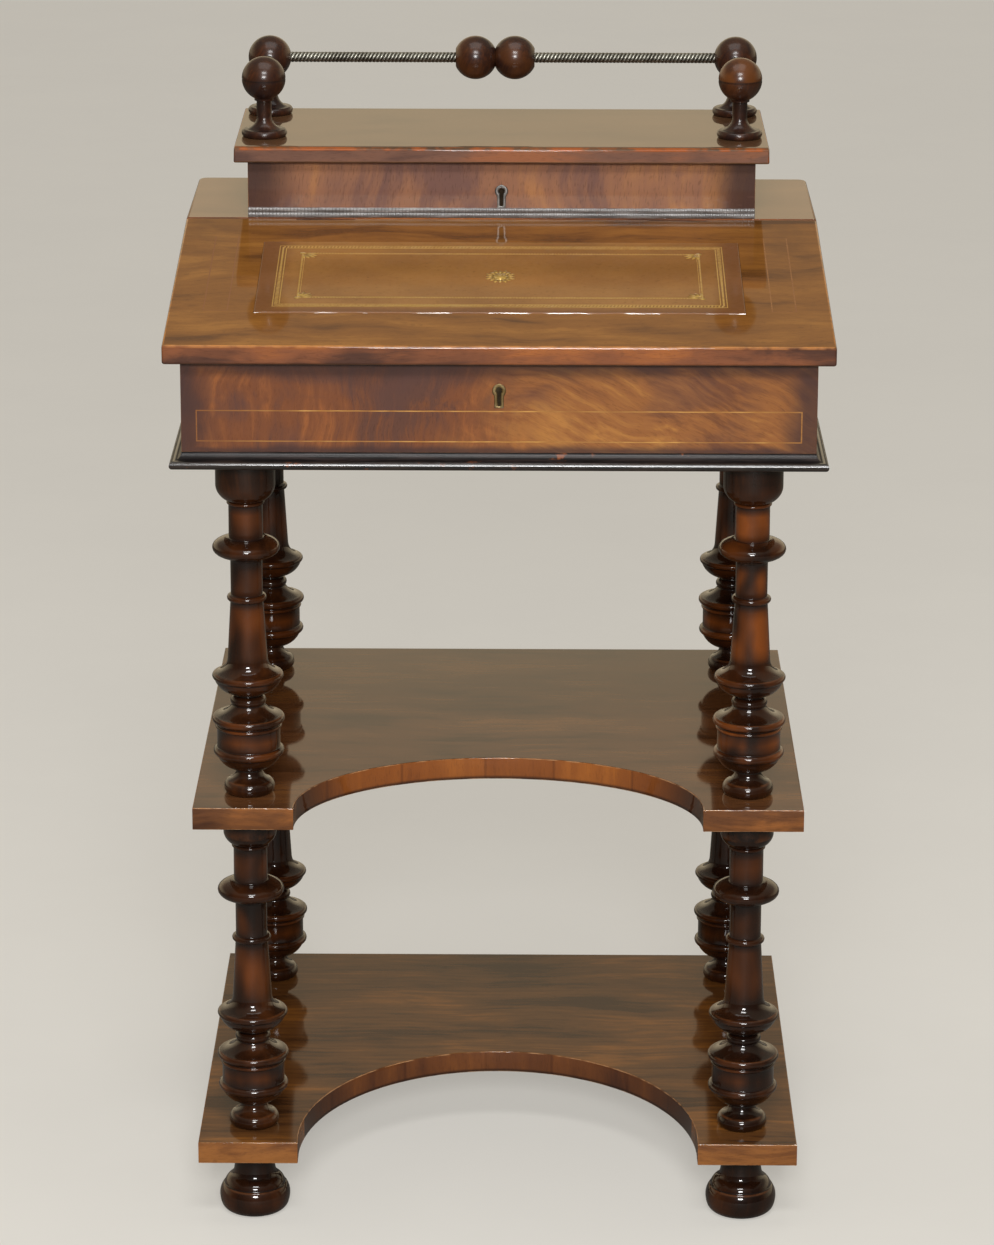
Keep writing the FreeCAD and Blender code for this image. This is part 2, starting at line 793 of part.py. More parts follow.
# The stationery lid's two hinges, in the top edge of the box's back
def fit_box_hinges(lid, back):
    y = box_axis_y
    z = box_axis_z
    plate_y = (y - hinge_leaf_width, y - knuckle_room)
    recess_front = plate_y[0] - hinge_recess_clearance
    middle_y = (plate_y[0] + plate_y[1]) / 2
    fixed_z = (box_top - hinge_leaf_thickness, box_top)
    moving_z = (box_lid_under, box_lid_under + hinge_leaf_thickness)
    fixed, moving, pins, fixed_screws, moving_screws = [], [], [], [], []
    for x in (-box_hinge_offset, box_hinge_offset):
        x_span = (x - hinge_length / 2, x + hinge_length / 2)
        wide = (x_span[0] - hinge_recess_clearance, x_span[1] + hinge_recess_clearance)
        middle, outer = knuckle_spans(x)
        offsets = [x + side * hinge_screw_spacing for side in (-1, 0, 1)]

        leaf = [block(x_span, plate_y, fixed_z)]
        for span in outer:
            leaf.append(block(span, (plate_y[0], y), fixed_z))
            leaf.append(barrel(span, y, z))
        fixings = screws([Vector(offset, middle_y, box_top) for offset in offsets], Vector(0, 0, -1))
        leaf = joined(leaf).cut(hinge_bore(x, y, z))
        back = back.cut(block(wide, (recess_front, box_back_y), fixed_z))
        for fixing in fixings:
            leaf = leaf.cut(fixing)
            back = back.cut(fixing)
        fixed.append(leaf)
        fixed_screws += fixings

        leaf = [block(x_span, plate_y, moving_z), block(middle, (plate_y[0], y), moving_z)]
        leaf.append(barrel(middle, y, z))
        fixings = screws([Vector(offset, middle_y, box_lid_under) for offset in offsets], Vector(0, 0, 1))
        leaf = joined(leaf).cut(hinge_bore(x, y, z))
        lid = lid.cut(block(wide, (recess_front, y), moving_z))
        lid = lid.cut(cylinder(knuckle_room, Vector(wide[0], y, z), Vector(wide[1], y, z)))
        for fixing in fixings:
            leaf = leaf.cut(fixing)
            lid = lid.cut(fixing)
        moving.append(leaf)
        moving_screws += fixings
        pins.append(hinge_pin(x, y, z))
    shapes["stationery_hinge_fixed_leaves"] = Part.makeCompound(fixed)
    shapes["stationery_hinge_lid_leaves"] = Part.makeCompound(moving)
    shapes["stationery_hinge_pins"] = Part.makeCompound(pins)
    return lid, back, fixed_screws, moving_screws


def make_front_line():
    half = case_half_width - front_line_side_margin
    low = base_top + front_line_bottom_margin
    high = low + front_line_height
    y_span = (case_front_y, case_front_y + front_line_depth)
    outer = block((-half, half), y_span, (low, high))
    inner_half = half - front_line_width
    inner_z = (low + front_line_width, high - front_line_width)
    return outer.cut(block((-inner_half, inner_half), y_span, inner_z))


def make_writing_box():
    lid = make_lid_board()
    flat = make_flat()
    lid, flat, flat_screws, lid_screws = fit_writing_hinges(lid, flat)

    leather_half = lid_width / 2 - leather_side_margin
    leather_span = (leather_front_margin, slope_length - leather_hinge_margin)
    leather = block((-leather_half, leather_half), leather_span, (-leather_thickness, 0))
    leather = on_slope(leather, front_y, slope_level(front_y))
    shapes["writing_leather"] = leather
    lid = lid.cut(leather)

    inner_y = case_front_y + case_front_thickness
    plate, plate_screws = make_link_plate()
    plate_y = inner_y + lock_thickness / 2 - eye_depth * math.sin(slope)
    plate_z = lid_under(plate_y)
    shapes["main_link_plate"] = on_slope(plate, plate_y, plate_z)
    plate_screws = [on_slope(piece, plate_y, plate_z) for piece in plate_screws]
    for piece in [shapes["main_link_plate"]] + plate_screws:
        lid = lid.cut(piece)
    shapes["writing_lid"] = lid
    shapes["writing_lid_screws"] = Part.makeCompound(lid_screws + plate_screws)
    shapes["fixed_flat"] = flat

    top = lid_under(inner_y) - lid_rest_gap - lock_top_gap
    eye_level = plate_z - eye_depth * math.cos(slope)
    panel, lock_screws = fit_lock("main", make_case_front(), case_front_y, inner_y, top, eye_level)
    shapes["front_stringing"] = make_front_line()
    shapes["case_front"] = panel.cut(shapes["front_stringing"])
    return flat_screws, lock_screws


# Reeds, one above the other, on a thin backing along the foot of the box front
def make_reed():
    root = Vector(0, box_front_y, flat_top)
    lowest = root - Vector(0, reed_backing, 0)
    rise = Vector(0, 0, reed_height)
    edges = [Part.makeLine(root, lowest)]
    for number in range(reed_count):
        start = lowest + rise * number
        middle = start + rise / 2 - Vector(0, reed_swell, 0)
        edges.append(Part.Arc(start, middle, start + rise).toShape())
    upper = root + rise * reed_count
    edges.append(Part.makeLine(lowest + rise * reed_count, upper))
    edges.append(Part.makeLine(upper, root))
    face = Part.Face(Part.Wire(edges))
    reed = face.extrude(Vector(2 * box_half_width, 0, 0))
    return reed.translated(Vector(-box_half_width, 0, 0))


def make_stationery_box():
    half = box_half_width
    z_span = (flat_top, box_top)
    inner_front = box_front_y + box_wall
    inner_back = box_back_y - box_wall
    shapes["stationery_left_side"] = block((-half, -half + box_wall), (inner_front, inner_back), z_span)
    shapes["stationery_right_side"] = block((half - box_wall, half), (inner_front, inner_back), z_span)
    shapes["stationery_base_reed"] = make_reed()
    front = block((-half, half), (box_front_y, inner_front), z_span)
    back = block((-half, half), (inner_back, box_back_y), z_span)

    lid_x = (-box_lid_half_width, box_lid_half_width)
    lid = block(lid_x, (box_lid_front_y, box_lid_back_y), (box_lid_under, box_lid_top))
    lid = rounded(lid, box_lid_edge_round, lambda box: not at_y(box, box_lid_back_y))
    lid, back, back_screws, lid_screws = fit_box_hinges(lid, back)
    shapes["stationery_back"] = back

    lock_y = inner_front + lock_thickness / 2
    place = Vector(0, lock_y, box_lid_under)
    plate, plate_screws = make_link_plate()
    plate = plate.translated(place)
    plate_screws = [piece.translated(place) for piece in plate_screws]
    for piece in [plate] + plate_screws:
        lid = lid.cut(piece)
    shapes["stationery_link_plate"] = plate
    shapes["stationery_lid_screws"] = Part.makeCompound(lid_screws + plate_screws)
    eye_level = box_lid_under - eye_depth
    top = box_top - lock_top_gap
    panel, lock_screws = fit_lock("stationery", front, box_front_y, inner_front, top, eye_level)
    shapes["stationery_front"] = panel
    for x, y in finial_places.values():
        socket_low = Vector(x, y, box_lid_top - finial_tenon_depth - tenon_end_clearance)
        lid = lid.cut(cylinder(finial_tenon_radius + tenon_clearance, socket_low, Vector(x, y, box_lid_top)))
    shapes["stationery_lid"] = lid
    return back_screws, lock_screws


finial_places = {
    "front_left": (-finial_x, finial_front_y),
    "front_right": (finial_x, finial_front_y),
    "back_left": (-finial_x, finial_back_y),
    "back_right": (finial_x, finial_back_y),
}


def finial_steps():
    drop = math.sqrt(finial_ball_radius ** 2 - finial_collar_radius ** 2)
    ball_start = finial_ball_height - drop
    neck_height = ball_start - finial_base_height - finial_flare_height - finial_collar_height
    moves = [
        (finial_base_height, finial_base_radius, finial_base_swell),
        (0.0, finial_shoulder_radius),
        (finial_flare_height, finial_neck_radius, finial_flare_swell),
        (neck_height, finial_neck_radius),
        (0.0, finial_collar_radius),
        (finial_collar_height, finial_collar_radius),
    ]
    ball = (0.0, finial_ball_height + finial_ball_radius, finial_ball_radius, finial_ball_height)
    return stacked(finial_base_radius, moves) + [ball]


def make_gallery():
    tenon_end = Vector(0, 0, -finial_tenon_depth)
    peg = cylinder(finial_tenon_radius, tenon_end, Vector(0, 0, lump_overlap))
    finial = joined([turned(finial_steps()), peg])
    hole_radius = gallery_rod_radius + gallery_rod_clearance
    rod_x = finial_x - rod_end_depth
    rod_y = (finial_front_y + rod_end_depth, finial_back_y - rod_end_depth)
    back_ends = [Vector(x, finial_back_y, gallery_z) for x in (-rod_x, rod_x)]
    back_hole = cylinder(hole_radius, *back_ends)
    shapes["gallery_back_rod"] = cylinder(gallery_rod_radius, *back_ends)
    for side, x in (("left", -finial_x), ("right", finial_x)):
        ends = [Vector(x, y, gallery_z) for y in rod_y]
        shapes["gallery_" + side + "_rod"] = cylinder(gallery_rod_radius, *ends)
        side_hole = cylinder(hole_radius, *ends)
        for corner in ("front_" + side, "back_" + side):
            place = Vector(*finial_places[corner], box_lid_top)
            piece = finial.translated(place).cut(side_hole)
            if corner.startswith("back"):
                piece = piece.cut(back_hole)
            shapes[corner + "_finial"] = piece

    half = bead_length / 2
    end_radius = math.sqrt(bead_radius ** 2 - half ** 2)
    bead = turned([(end_radius, -half), (end_radius, half, bead_radius, 0.0)])
    bead.rotate(Vector(0, 0, 0), Vector(0, 1, 0), 90)
    for side, sign in (("left", -1), ("right", 1)):
        place = Vector(bead_offset + sign * half, finial_back_y, gallery_z)
        shapes["gallery_" + side + "_bead"] = bead.translated(place).cut(back_hole)


def export_all():
    os.makedirs("parts", exist_ok=True)
    for node, shape in shapes.items():
        shape.exportStep("parts/" + node + ".step")
        print(node, round(shape.Volume), len(shape.Solids), shape.isValid())


make_legs()
shapes["lower_shelf"] = make_shelf(
    foot_height,
    lower_shelf_thickness,
    (shelf_half_width - lower_lug_width, lower_cut_straight, lower_cut_depth),
)
shapes["middle_shelf"] = make_shelf(
    middle_shelf_under,
    middle_shelf_thickness,
    (shelf_half_width - middle_lug_width, middle_cut_straight, middle_cut_depth),
)
shapes["base_board"] = make_base_board()
make_case()
flat_screws, main_lock_screws = make_writing_box()
back_screws, box_lock_screws = make_stationery_box()
shapes["fixed_hinge_screws"] = Part.makeCompound(flat_screws + back_screws)
shapes["lock_screws"] = Part.makeCompound(main_lock_screws + box_lock_screws)
make_gallery()
export_all()
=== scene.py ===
import bpy
import bmesh
import json
from math import acos, asin, atan, atan2, cos, degrees, pi, radians, sin, tan
from mathutils import Matrix, Vector


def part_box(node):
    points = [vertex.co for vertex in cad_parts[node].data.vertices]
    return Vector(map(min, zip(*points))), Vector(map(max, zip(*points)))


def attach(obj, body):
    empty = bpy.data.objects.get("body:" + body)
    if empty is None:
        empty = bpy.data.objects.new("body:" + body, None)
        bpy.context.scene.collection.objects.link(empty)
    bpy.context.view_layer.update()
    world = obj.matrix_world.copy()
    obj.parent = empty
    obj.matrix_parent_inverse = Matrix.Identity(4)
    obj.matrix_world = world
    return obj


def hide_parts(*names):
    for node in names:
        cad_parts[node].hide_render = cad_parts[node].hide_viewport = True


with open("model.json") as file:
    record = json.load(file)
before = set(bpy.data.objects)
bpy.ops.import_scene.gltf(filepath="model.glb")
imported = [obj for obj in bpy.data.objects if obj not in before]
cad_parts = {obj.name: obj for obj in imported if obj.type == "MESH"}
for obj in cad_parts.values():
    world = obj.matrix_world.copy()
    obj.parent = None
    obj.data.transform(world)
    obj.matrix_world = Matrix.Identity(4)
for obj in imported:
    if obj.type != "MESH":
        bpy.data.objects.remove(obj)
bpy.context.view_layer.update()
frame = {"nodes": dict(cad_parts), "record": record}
scene = bpy.context.scene
scene.view_settings.view_transform = "Standard"
cadNodes = frame["nodes"]
record = frame["record"]
bodyOf = {node: body for body, members in record["behaviour"]["bodies"].items() for node in members}
slotOf = {part["node"]: part["material_slot"] for part in record["subparts"]}
deskCorners = ("front_left", "front_right", "back_left", "back_right")
mm = 0.001
slope = radians(7.5)
dressed = set()
surfaces = {}
print("frame loaded:", len(cadNodes), "nodes")

photoCamera = {"place": (0.02191, -3.91476, 1.67139), "pitch": 17.05, "yaw": -0.36, "roll": 0.11,
               "lens": 136.92, "sensor": 36, "far": 200}


def makeCamera():
    pitch, yaw, roll = (radians(photoCamera[key]) for key in ("pitch", "yaw", "roll"))
    ahead = Vector((sin(yaw) * cos(pitch), cos(yaw) * cos(pitch), -sin(pitch)))
    level = Vector((cos(yaw), -sin(yaw), 0))
    upright = level.cross(ahead)
    side = level * cos(roll) + upright * sin(roll)
    top = upright * cos(roll) - level * sin(roll)
    data = bpy.data.cameras.new("photoCamera")
    data.lens = photoCamera["lens"]
    data.sensor_width = photoCamera["sensor"]
    data.clip_end = photoCamera["far"]
    camera = bpy.data.objects.new("photoCamera", data)
    camera.matrix_world = Matrix((side, top, -ahead)).transposed().to_4x4()
    camera.matrix_world.translation = photoCamera["place"]
    scene.collection.objects.link(camera)
    scene.camera = camera


makeCamera()


# node helpers: a colour is given as three numbers
def addNode(tree, kind, values=None, **settings):
    node = tree.nodes.new(kind)
    for key, value in settings.items():
        setattr(node, key, value)
    for key, value in (values or {}).items():
        socket = node.inputs[key]
        if isinstance(value, bpy.types.NodeSocket):
            tree.links.new(value, socket)
        else:
            socket.default_value = (*value, 1.0) if socket.type == "RGBA" else value
    return node


def begin(tree, kind, values=None, **settings):
    return addNode(tree, "GeometryNode" + kind, values, **settings).outputs[0]


def follow(kind, values, **settings):  # in the tree of the sockets that it follows
    tree = next(value.id_data for value in values.values() if isinstance(value, bpy.types.NodeSocket))
    return addNode(tree, kind, values, **settings).outputs


def shade(kind, values, **settings):
    return follow("ShaderNode" + kind, values, **settings)[0]


def geo(kind, values, **settings):
    return follow("GeometryNode" + kind, values, **settings)[0]


def rule(kind, values, **settings):
    return follow("FunctionNode" + kind, values, **settings)[0]


def mathNode(operation):
    def calc(*values):
        return shade("Math", dict(enumerate(values)), operation=operation)

    return calc


plus = mathNode("ADD")
minus = mathNode("SUBTRACT")
times = mathNode("MULTIPLY")
over = mathNode("DIVIDE")
larger = mathNode("MAXIMUM")
sizeOf = mathNode("ABSOLUTE")
scaled = mathNode("MULTIPLY_ADD")


def mixed(factor, first, second):
    return follow("ShaderNodeMix", {0: factor, 6: first, 7: second}, data_type="RGBA")[2]


def fade(value, low, high, most=1.0):
    values = {0: value, 1: low, 2: high, 4: most}
    return shade("MapRange", values, interpolation_type="SMOOTHSTEP")


def turned(vector, scale=(1, 1, 1), turn=(0, 0, 0), shift=(0, 0, 0)):
    angles = [radians(value) for value in turn]
    return shade("Mapping", {"Vector": vector, "Location": shift, "Rotation": angles, "Scale": scale})


def cloudy(vector, scale, detail=2.0, roughness=0.5, distortion=0.0):
    values = {"Vector": vector, "Scale": scale, "Detail": detail, "Roughness": roughness,
              "Distortion": distortion}
    return shade("TexNoise", values)


def wavering(vector, reach, *noise):
    return scaled(cloudy(vector, *noise), reach, -0.5 * reach)


def attributeOf(where, name):
    return addNode(where.id_data, "ShaderNodeAttribute", attribute_name=name).outputs["Fac"]


def axisOf(vector, axis):
    return follow("ShaderNodeSeparateXYZ", {0: vector})[axis]


def newGroup(name, kind, inputs, outputs):
    group = bpy.data.node_groups.new(name, kind)
    for way, sockets in (("INPUT", inputs), ("OUTPUT", outputs)):
        for socketKind, labels in sockets.items():
            for label in labels:
                group.interface.new_socket(label, in_out=way, socket_type="NodeSocket" + socketKind)
    return group, group.nodes.new("NodeGroupInput").outputs


def makeGrain():
    inputs = {"Vector": ["Vector"], "Color": ["Dark", "Middle", "Light"],
              "Float": ["Cloud", "Streak", "Warp", "Pores"]}
    outputs = {"Color": ["Color"], "Float": ["Roughness", "Height"]}
    group, given = newGroup("walnutGrain", "ShaderNodeTree", inputs, outputs)
    vector = given["Vector"]
    slow = {"Vector": vector, "Scale": 7.0, "Detail": 2.0}
    drift = follow("ShaderNodeTexNoise", slow)["Color"]
    drift = shade("VectorMath", {0: drift, 1: (0.5, 0.5, 0.5)}, operation="SUBTRACT")
    drift = shade("VectorMath", {0: drift, "Scale": given["Warp"]}, operation="SCALE")
    bent = shade("VectorMath", {0: vector, 1: drift}, operation="ADD")
    clouds = cloudy(turned(bent, (1, 3.2, 3.2)), 7.0, 3.0, 0.55)
    streaks = cloudy(turned(bent, (1, 20, 20)), 9.0, 4.0, 0.62)
    pores = cloudy(turned(vector, (1, 12, 12)), 150.0, 1.0)
    tone = scaled(minus(clouds, 0.5), given["Cloud"], 0.5)
    tone = scaled(minus(streaks, 0.5), given["Streak"], tone)
    low = fade(tone, 0.30, 0.52)
    color = mixed(low, given["Dark"], given["Middle"])
    color = mixed(fade(tone, 0.50, 0.74), color, given["Light"])
    poreMask = fade(pores, 0.56, 0.70, given["Pores"])
    color = mixed(times(poreMask, 0.65), color, (0.012, 0.006, 0.004))
    rough = scaled(poreMask, 0.15, scaled(low, -0.10, 0.52))
    height = scaled(poreMask, -0.6, times(streaks, 0.35))
    addNode(group, "NodeGroupOutput", {"Color": color, "Roughness": rough, "Height": height})
    return group


def makeWear():
    inputs = {"Vector": ["Vector"], "Color": ["Color", "Bare"], "Float": ["Edge", "Amount"]}
    group, given = newGroup("edgeWear", "ShaderNodeTree", inputs, {"Color": ["Color"]})
    patches = fade(cloudy(given["Vector"], 60.0, 3.0, 0.6), 0.36, 0.62, given["Edge"])
    mask = times(patches, given["Amount"])
    addNode(group, "NodeGroupOutput", {0: mixed(mask, given["Color"], given["Bare"])})
    return group


def makeGrime():
    inputs = {"Vector": ["Vector"], "Color": ["Color", "Stain"], "Float": ["Amount"]}
    group, given = newGroup("oldStains", "ShaderNodeTree", inputs, {"Color": ["Color"]})
    blots = fade(cloudy(given["Vector"], 11.0, 4.0, 0.6, 0.4), 0.55, 0.78)
    specks = fade(cloudy(given["Vector"], 130.0, 2.0), 0.66, 0.74, 0.6)
    mask = times(larger(blots, specks), given["Amount"])
    addNode(group, "NodeGroupOutput", {0: mixed(mask, given["Color"], given["Stain"])})
    return group


grainGroup = makeGrain()
wearGroup = makeWear()
grimeGroup = makeGrime()


def grainOn(vector, tones, cloud, streak, warp, pores=0.35):
    values = {"Vector": vector, "Cloud": cloud, "Streak": streak, "Warp": warp, "Pores": pores}
    values.update(zip(("Dark", "Middle", "Light"), tones))
    return follow("ShaderNodeGroup", values, node_tree=grainGroup)


def wornColor(where, color, bare, amount):
    edge = attributeOf(where, "arris")
    values = {"Vector": where, "Color": color, "Bare": bare, "Edge": edge, "Amount": amount}
    return shade("Group", values, node_tree=wearGroup)


def stainedColor(vector, color, stain, amount):
    values = {"Vector": vector, "Color": color, "Stain": stain, "Amount": amount}
    return shade("Group", values, node_tree=grimeGroup)


def newSurface(name, roughness=0.4, coat=0.0, coatRoughness=0.06, metallic=0.0, specular=0.3):
    surfaces[name] = bpy.data.materials.new(name)
    surfaces[name].use_nodes = True
    tree = surfaces[name].node_tree
    shader = tree.nodes["Principled BSDF"]
    settings = {"Roughness": roughness, "Coat Weight": coat, "Coat Roughness": coatRoughness,
                "Metallic": metallic, "Specular IOR Level": specular}
    for key, value in settings.items():
        shader.inputs[key].default_value = value
    return shader, addNode(tree, "ShaderNodeTexCoord").outputs["Object"]


def joinSurface(shader, color, roughness=None, height=None, strength=0.12, distance=0.15, metallic=None):
    links = {"Base Color": color, "Roughness": roughness, "Metallic": metallic}
    if height:
        bump = {"Height": height, "Strength": strength, "Distance": distance * mm}
        links["Normal"] = shade("Bump", bump)
    for key, socket in links.items():
        if socket:
            shader.id_data.links.new(socket, shader.inputs[key])


# figure is cloud, streak and warp of the grain
polish = {"coat": 0.95, "coatRoughness": 0.05, "specular": 0.0}
usualWalnut = {"stain": 0.35, "bare": (0.42, 0.17, 0.055), "wear": 0.7, "wide": 1.0, "turn": (0, 0, 0),
               "shift": (0, 0, 0), "polish": polish}
walnutLooks = {
    "lidWalnut": {"tones": ((0.125, 0.050, 0.014), (0.245, 0.098, 0.021), (0.34, 0.145, 0.030)),
                  "figure": (1.1, 0.3, 0.06), "stain": 0.45, "bare": (0.50, 0.19, 0.035)},
    "topWalnut": {"tones": ((0.085, 0.042, 0.021), (0.120, 0.061, 0.030), (0.16, 0.083, 0.040)),
                  "figure": (0.8, 0.3, 0.05), "stain": 0.25, "shift": (0.2, 0.3, 0),
                  "bare": (0.36, 0.088, 0.017), "wear": 0.95},
    "flatWalnut": {"tones": ((0.145, 0.070, 0.034), (0.188, 0.092, 0.045), (0.238, 0.120, 0.057)),
                   "figure": (0.7, 0.25, 0.05), "stain": 0.2, "shift": (0.4, 0.1, 0),
                   "bare": (0.55, 0.15, 0.022), "wear": 0.95},
    "edgeWalnut": {"tones": ((0.085, 0.036, 0.024), (0.235, 0.082, 0.036), (0.38, 0.125, 0.036)),
                   "figure": (1.4, 0.35, 0.05), "shift": (0.1, 0.3, 0.6)},
    "lidEdge": {"tones": ((0.095, 0.052, 0.043), (0.190, 0.096, 0.066), (0.31, 0.12, 0.058)),
                "figure": (1.3, 0.35, 0.05), "shift": (0.3, 0.1, 0.2),
                "bare": (0.36, 0.088, 0.017), "wear": 0.95},
    "sideWalnut": {"tones": ((0.09, 0.038, 0.028), (0.225, 0.078, 0.030), (0.38, 0.145, 0.042)),
                   "figure": (1.3, 0.35, 0.09), "turn": (0, 0, 78)},
    "boxWalnut": {"tones": ((0.185, 0.094, 0.074), (0.30, 0.140, 0.080), (0.47, 0.210, 0.080)),
                  "figure": (1.1, 0.6, 0.03), "turn": (0, 84, 0), "wide": 0.42,
                  "dimEnds": (0.165, 0.206, 0.88), "dimTone": (0.050, 0.028, 0.026)},
    "boxSide": {"tones": ((0.09, 0.040, 0.030), (0.205, 0.080, 0.038), (0.36, 0.140, 0.048)),
                "figure": (1.2, 0.35, 0.05), "turn": (0, 0, 84)},
    "backWalnut": {"tones": ((0.065, 0.028, 0.016), (0.155, 0.062, 0.027), (0.24, 0.098, 0.038)),
                   "figure": (0.9, 0.6, 0.05), "shift": (0.7, 0, 0.2)},
    "shelfWalnut": {"tones": ((0.050, 0.020, 0.008), (0.122, 0.048, 0.018), (0.205, 0.080, 0.023)),
                    "figure": (0.8, 0.45, 0.03), "stain": 0.25, "bare": (0.324, 0.146, 0.063)},
    "lowShelfWalnut": {"tones": ((0.050, 0.020, 0.008), (0.135, 0.054, 0.016), (0.28, 0.105, 0.021)),
                       "figure": (0.9, 0.5, 0.03), "stain": 0.15, "bare": (0.40, 0.18, 0.07),
                       "shift": (0.5, 0.2, 0.0),
                       "polish": {"coat": 0.70, "coatRoughness": 0.075, "specular": 0.0}},
    "shelfEdge": {"tones": ((0.060, 0.021, 0.010), (0.145, 0.053, 0.018), (0.31, 0.110, 0.028)),
                  "figure": (1.5, 0.35, 0.05), "shift": (0.2, 0.5, 0.1),
                  "bare": (0.50, 0.26, 0.12), "wear": 0.9},
    "lowShelfEdge": {"tones": ((0.15, 0.053, 0.019), (0.36, 0.138, 0.037), (0.47, 0.185, 0.046)),
                     "figure": (0.9, 0.35, 0.05), "shift": (0.35, 0.5, 0.4),
                     "bare": (0.55, 0.30, 0.14), "wear": 0.9},
    "innerWood": {"tones": ((0.06, 0.029, 0.016), (0.14, 0.066, 0.031), (0.21, 0.105, 0.050)),
                  "figure": (0.7, 0.7, 0.05), "wear": 0.2,
                  "polish": {"coat": 0.1, "coatRoughness": 0.3, "specular": 0.2}},
}


def makeWalnut(name, ownLook):
    look = {**usualWalnut, **ownLook}
    shader, where = newSurface(name, **look["polish"])
    vector = turned(where, turn=look["turn"], shift=look["shift"])
    vector = turned(vector, (1, look["wide"], look["wide"]))
    grain = grainOn(vector, look["tones"], *look["figure"])
    color = grain["Color"]
    if "dimEnds" in look:
        ends = fade(sizeOf(axisOf(where, 0)), *look["dimEnds"])
        color = mixed(ends, color, look["dimTone"])
    color = stainedColor(vector, color, look["tones"][0], look["stain"])
    color = wornColor(where, color, look["bare"], look["wear"])
    joinSurface(shader, color, grain["Roughness"], grain["Height"])


caseTones = {"curls": ((0.125, 0.052, 0.034), (0.200, 0.068, 0.028), (0.325, 0.110, 0.033)),
             "stripes": ((0.18, 0.066, 0.028), (0.31, 0.118, 0.036), (0.46, 0.195, 0.050)),
             "blots": (0.105, 0.050, 0.042), "border": (0.058, 0.030, 0.028), "bare": (0.40, 0.2, 0.09)}


def makeCaseVeneer():
    shader, where = newSurface("caseVeneer", **polish)
    x, z = axisOf(where, 0), axisOf(where, 2)
    upright = turned(turned(where, turn=(0, 82, 0), shift=(0.33, 0, 0.1)), (1.6, 0.9, 0.9))
    left = grainOn(upright, caseTones["curls"], 1.0, 0.65, 0.05, 0.3)
    diagonal = turned(turned(where, turn=(0, -27, 0), shift=(0.1, 0, 0.3)), (1.1, 0.85, 0.85))
    right = grainOn(diagonal, caseTones["stripes"], 0.9, 0.8, 0.07, 0.3)
    rightMask = fade(plus(x, wavering(where, 0.16, 9.0, 3.0, 0.6)), -0.05, 0.06)
    color = mixed(rightMask, left["Color"], right["Color"])
    blots = cloudy(turned(where, (1, 1, 1.5)), 13.0, 3.0, 0.55, 0.3)
    blotMask = fade(blots, 0.50, 0.68, scaled(rightMask, -0.27, 0.62))
    color = mixed(blotMask, color, caseTones["blots"])
    wander = wavering(where, 0.030, 24.0, 2.0)
    ends = fade(plus(sizeOf(x), wander), 0.224, 0.250, 0.8)
    upper = fade(plus(z, wander), 0.737, 0.757, 0.8)
    lower = fade(scaled(wander, 0.3, z), 0.690, 0.684, 0.8)
    color = mixed(larger(larger(ends, upper), lower), color, caseTones["border"])
    color = wornColor(where, color, caseTones["bare"], 0.5)
    rough = mixed(rightMask, left["Roughness"], right["Roughness"])
    joinSurface(shader, color, rough, right["Height"], 0.10)


biteLooks = {
    "biteVeneer": ("middle_shelf", ((0.15, 0.044, 0.016), (0.29, 0.088, 0.020), (0.42, 0.135, 0.026))),
    "lowBiteVeneer": ("lower_shelf", ((0.075, 0.028, 0.016), (0.17, 0.058, 0.020), (0.34, 0.115, 0.026))),
}


def makeBiteVeneer(name, shelf, tones):
    shader, where = newSurface(name, 0.38, **polish)
    x, z = axisOf(where, 0), axisOf(where, 2)
    upright = turned(turned(where, turn=(0, 90, 0)), (1, 0.5, 0.5))
    grain = grainOn(upright, tones, 0.7, 0.4, 0.02, 0.25)
    leaves = {"W": x, "Scale": 17.0, "Randomness": 0.8}
    leaf = follow("ShaderNodeTexVoronoi", leaves, voronoi_dimensions="1D")["Color"]
    color = mixed(times(axisOf(leaf, 0), 0.4), grain["Color"], tones[0])
    edge = shade("TexVoronoi", leaves, voronoi_dimensions="1D", feature="DISTANCE_TO_EDGE")
    color = mixed(fade(edge, 0.028, 0.008, 0.32), color, (0.05, 0.014, 0.008))
    color = mixed(fade(sizeOf(x), 0.120, 0.166, 0.85), color, (0.055, 0.024, 0.014))
    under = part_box(shelf)[0].z
    # darker towards the bottom edge of the bite
    darkBottom = fade(z, under + 4 * mm, under + 1 * mm, 0.85)
    color = mixed(darkBottom, color, (0.022, 0.011, 0.008))
    color = wornColor(where, color, (0.60, 0.33, 0.16), 0.8)
    joinSurface(shader, color, grain["Roughness"], grain["Height"])


turnedTones = {"walnut": ((0.009, 0.0032, 0.0016), (0.021, 0.0068, 0.0026), (0.054, 0.0165, 0.0045)),
               "rosewood": ((0.017, 0.006, 0.005), (0.032, 0.0110, 0.0058), (0.062, 0.019, 0.0072)),
               "flame": (0.215, 0.055, 0.0085), "warm": (0.125, 0.040, 0.009), "dirt": (0.010, 0.005, 0.004)}


def makeTurnedWalnut():
    shader, where = newSurface("turnedWalnut", 0.36, 1.0, 0.09, 0.0, 0.05)
    grain = grainOn(turned(where, turn=(0, 90, 0)), turnedTones["walnut"], 1.1, 0.4, 0.03, 0.4)
    flame = cloudy(turned(where, (1, 1, 0.5)), 40.0, 1.0, 0.4, 0.2)
    flameMask = fade(flame, 0.30, 0.74, attributeOf(where, "glow"))
    color = mixed(flameMask, grain["Color"], turnedTones["flame"])
    # darker in the hollow corners of the turning
    color = mixed(times(attributeOf(where, "hollow"), 0.8), color, turnedTones["dirt"])
    color = wornColor(where, color, (0.15, 0.050, 0.016), 0.5)
    joinSurface(shader, color, grain["Roughness"], grain["Height"], 0.08, 0.12)


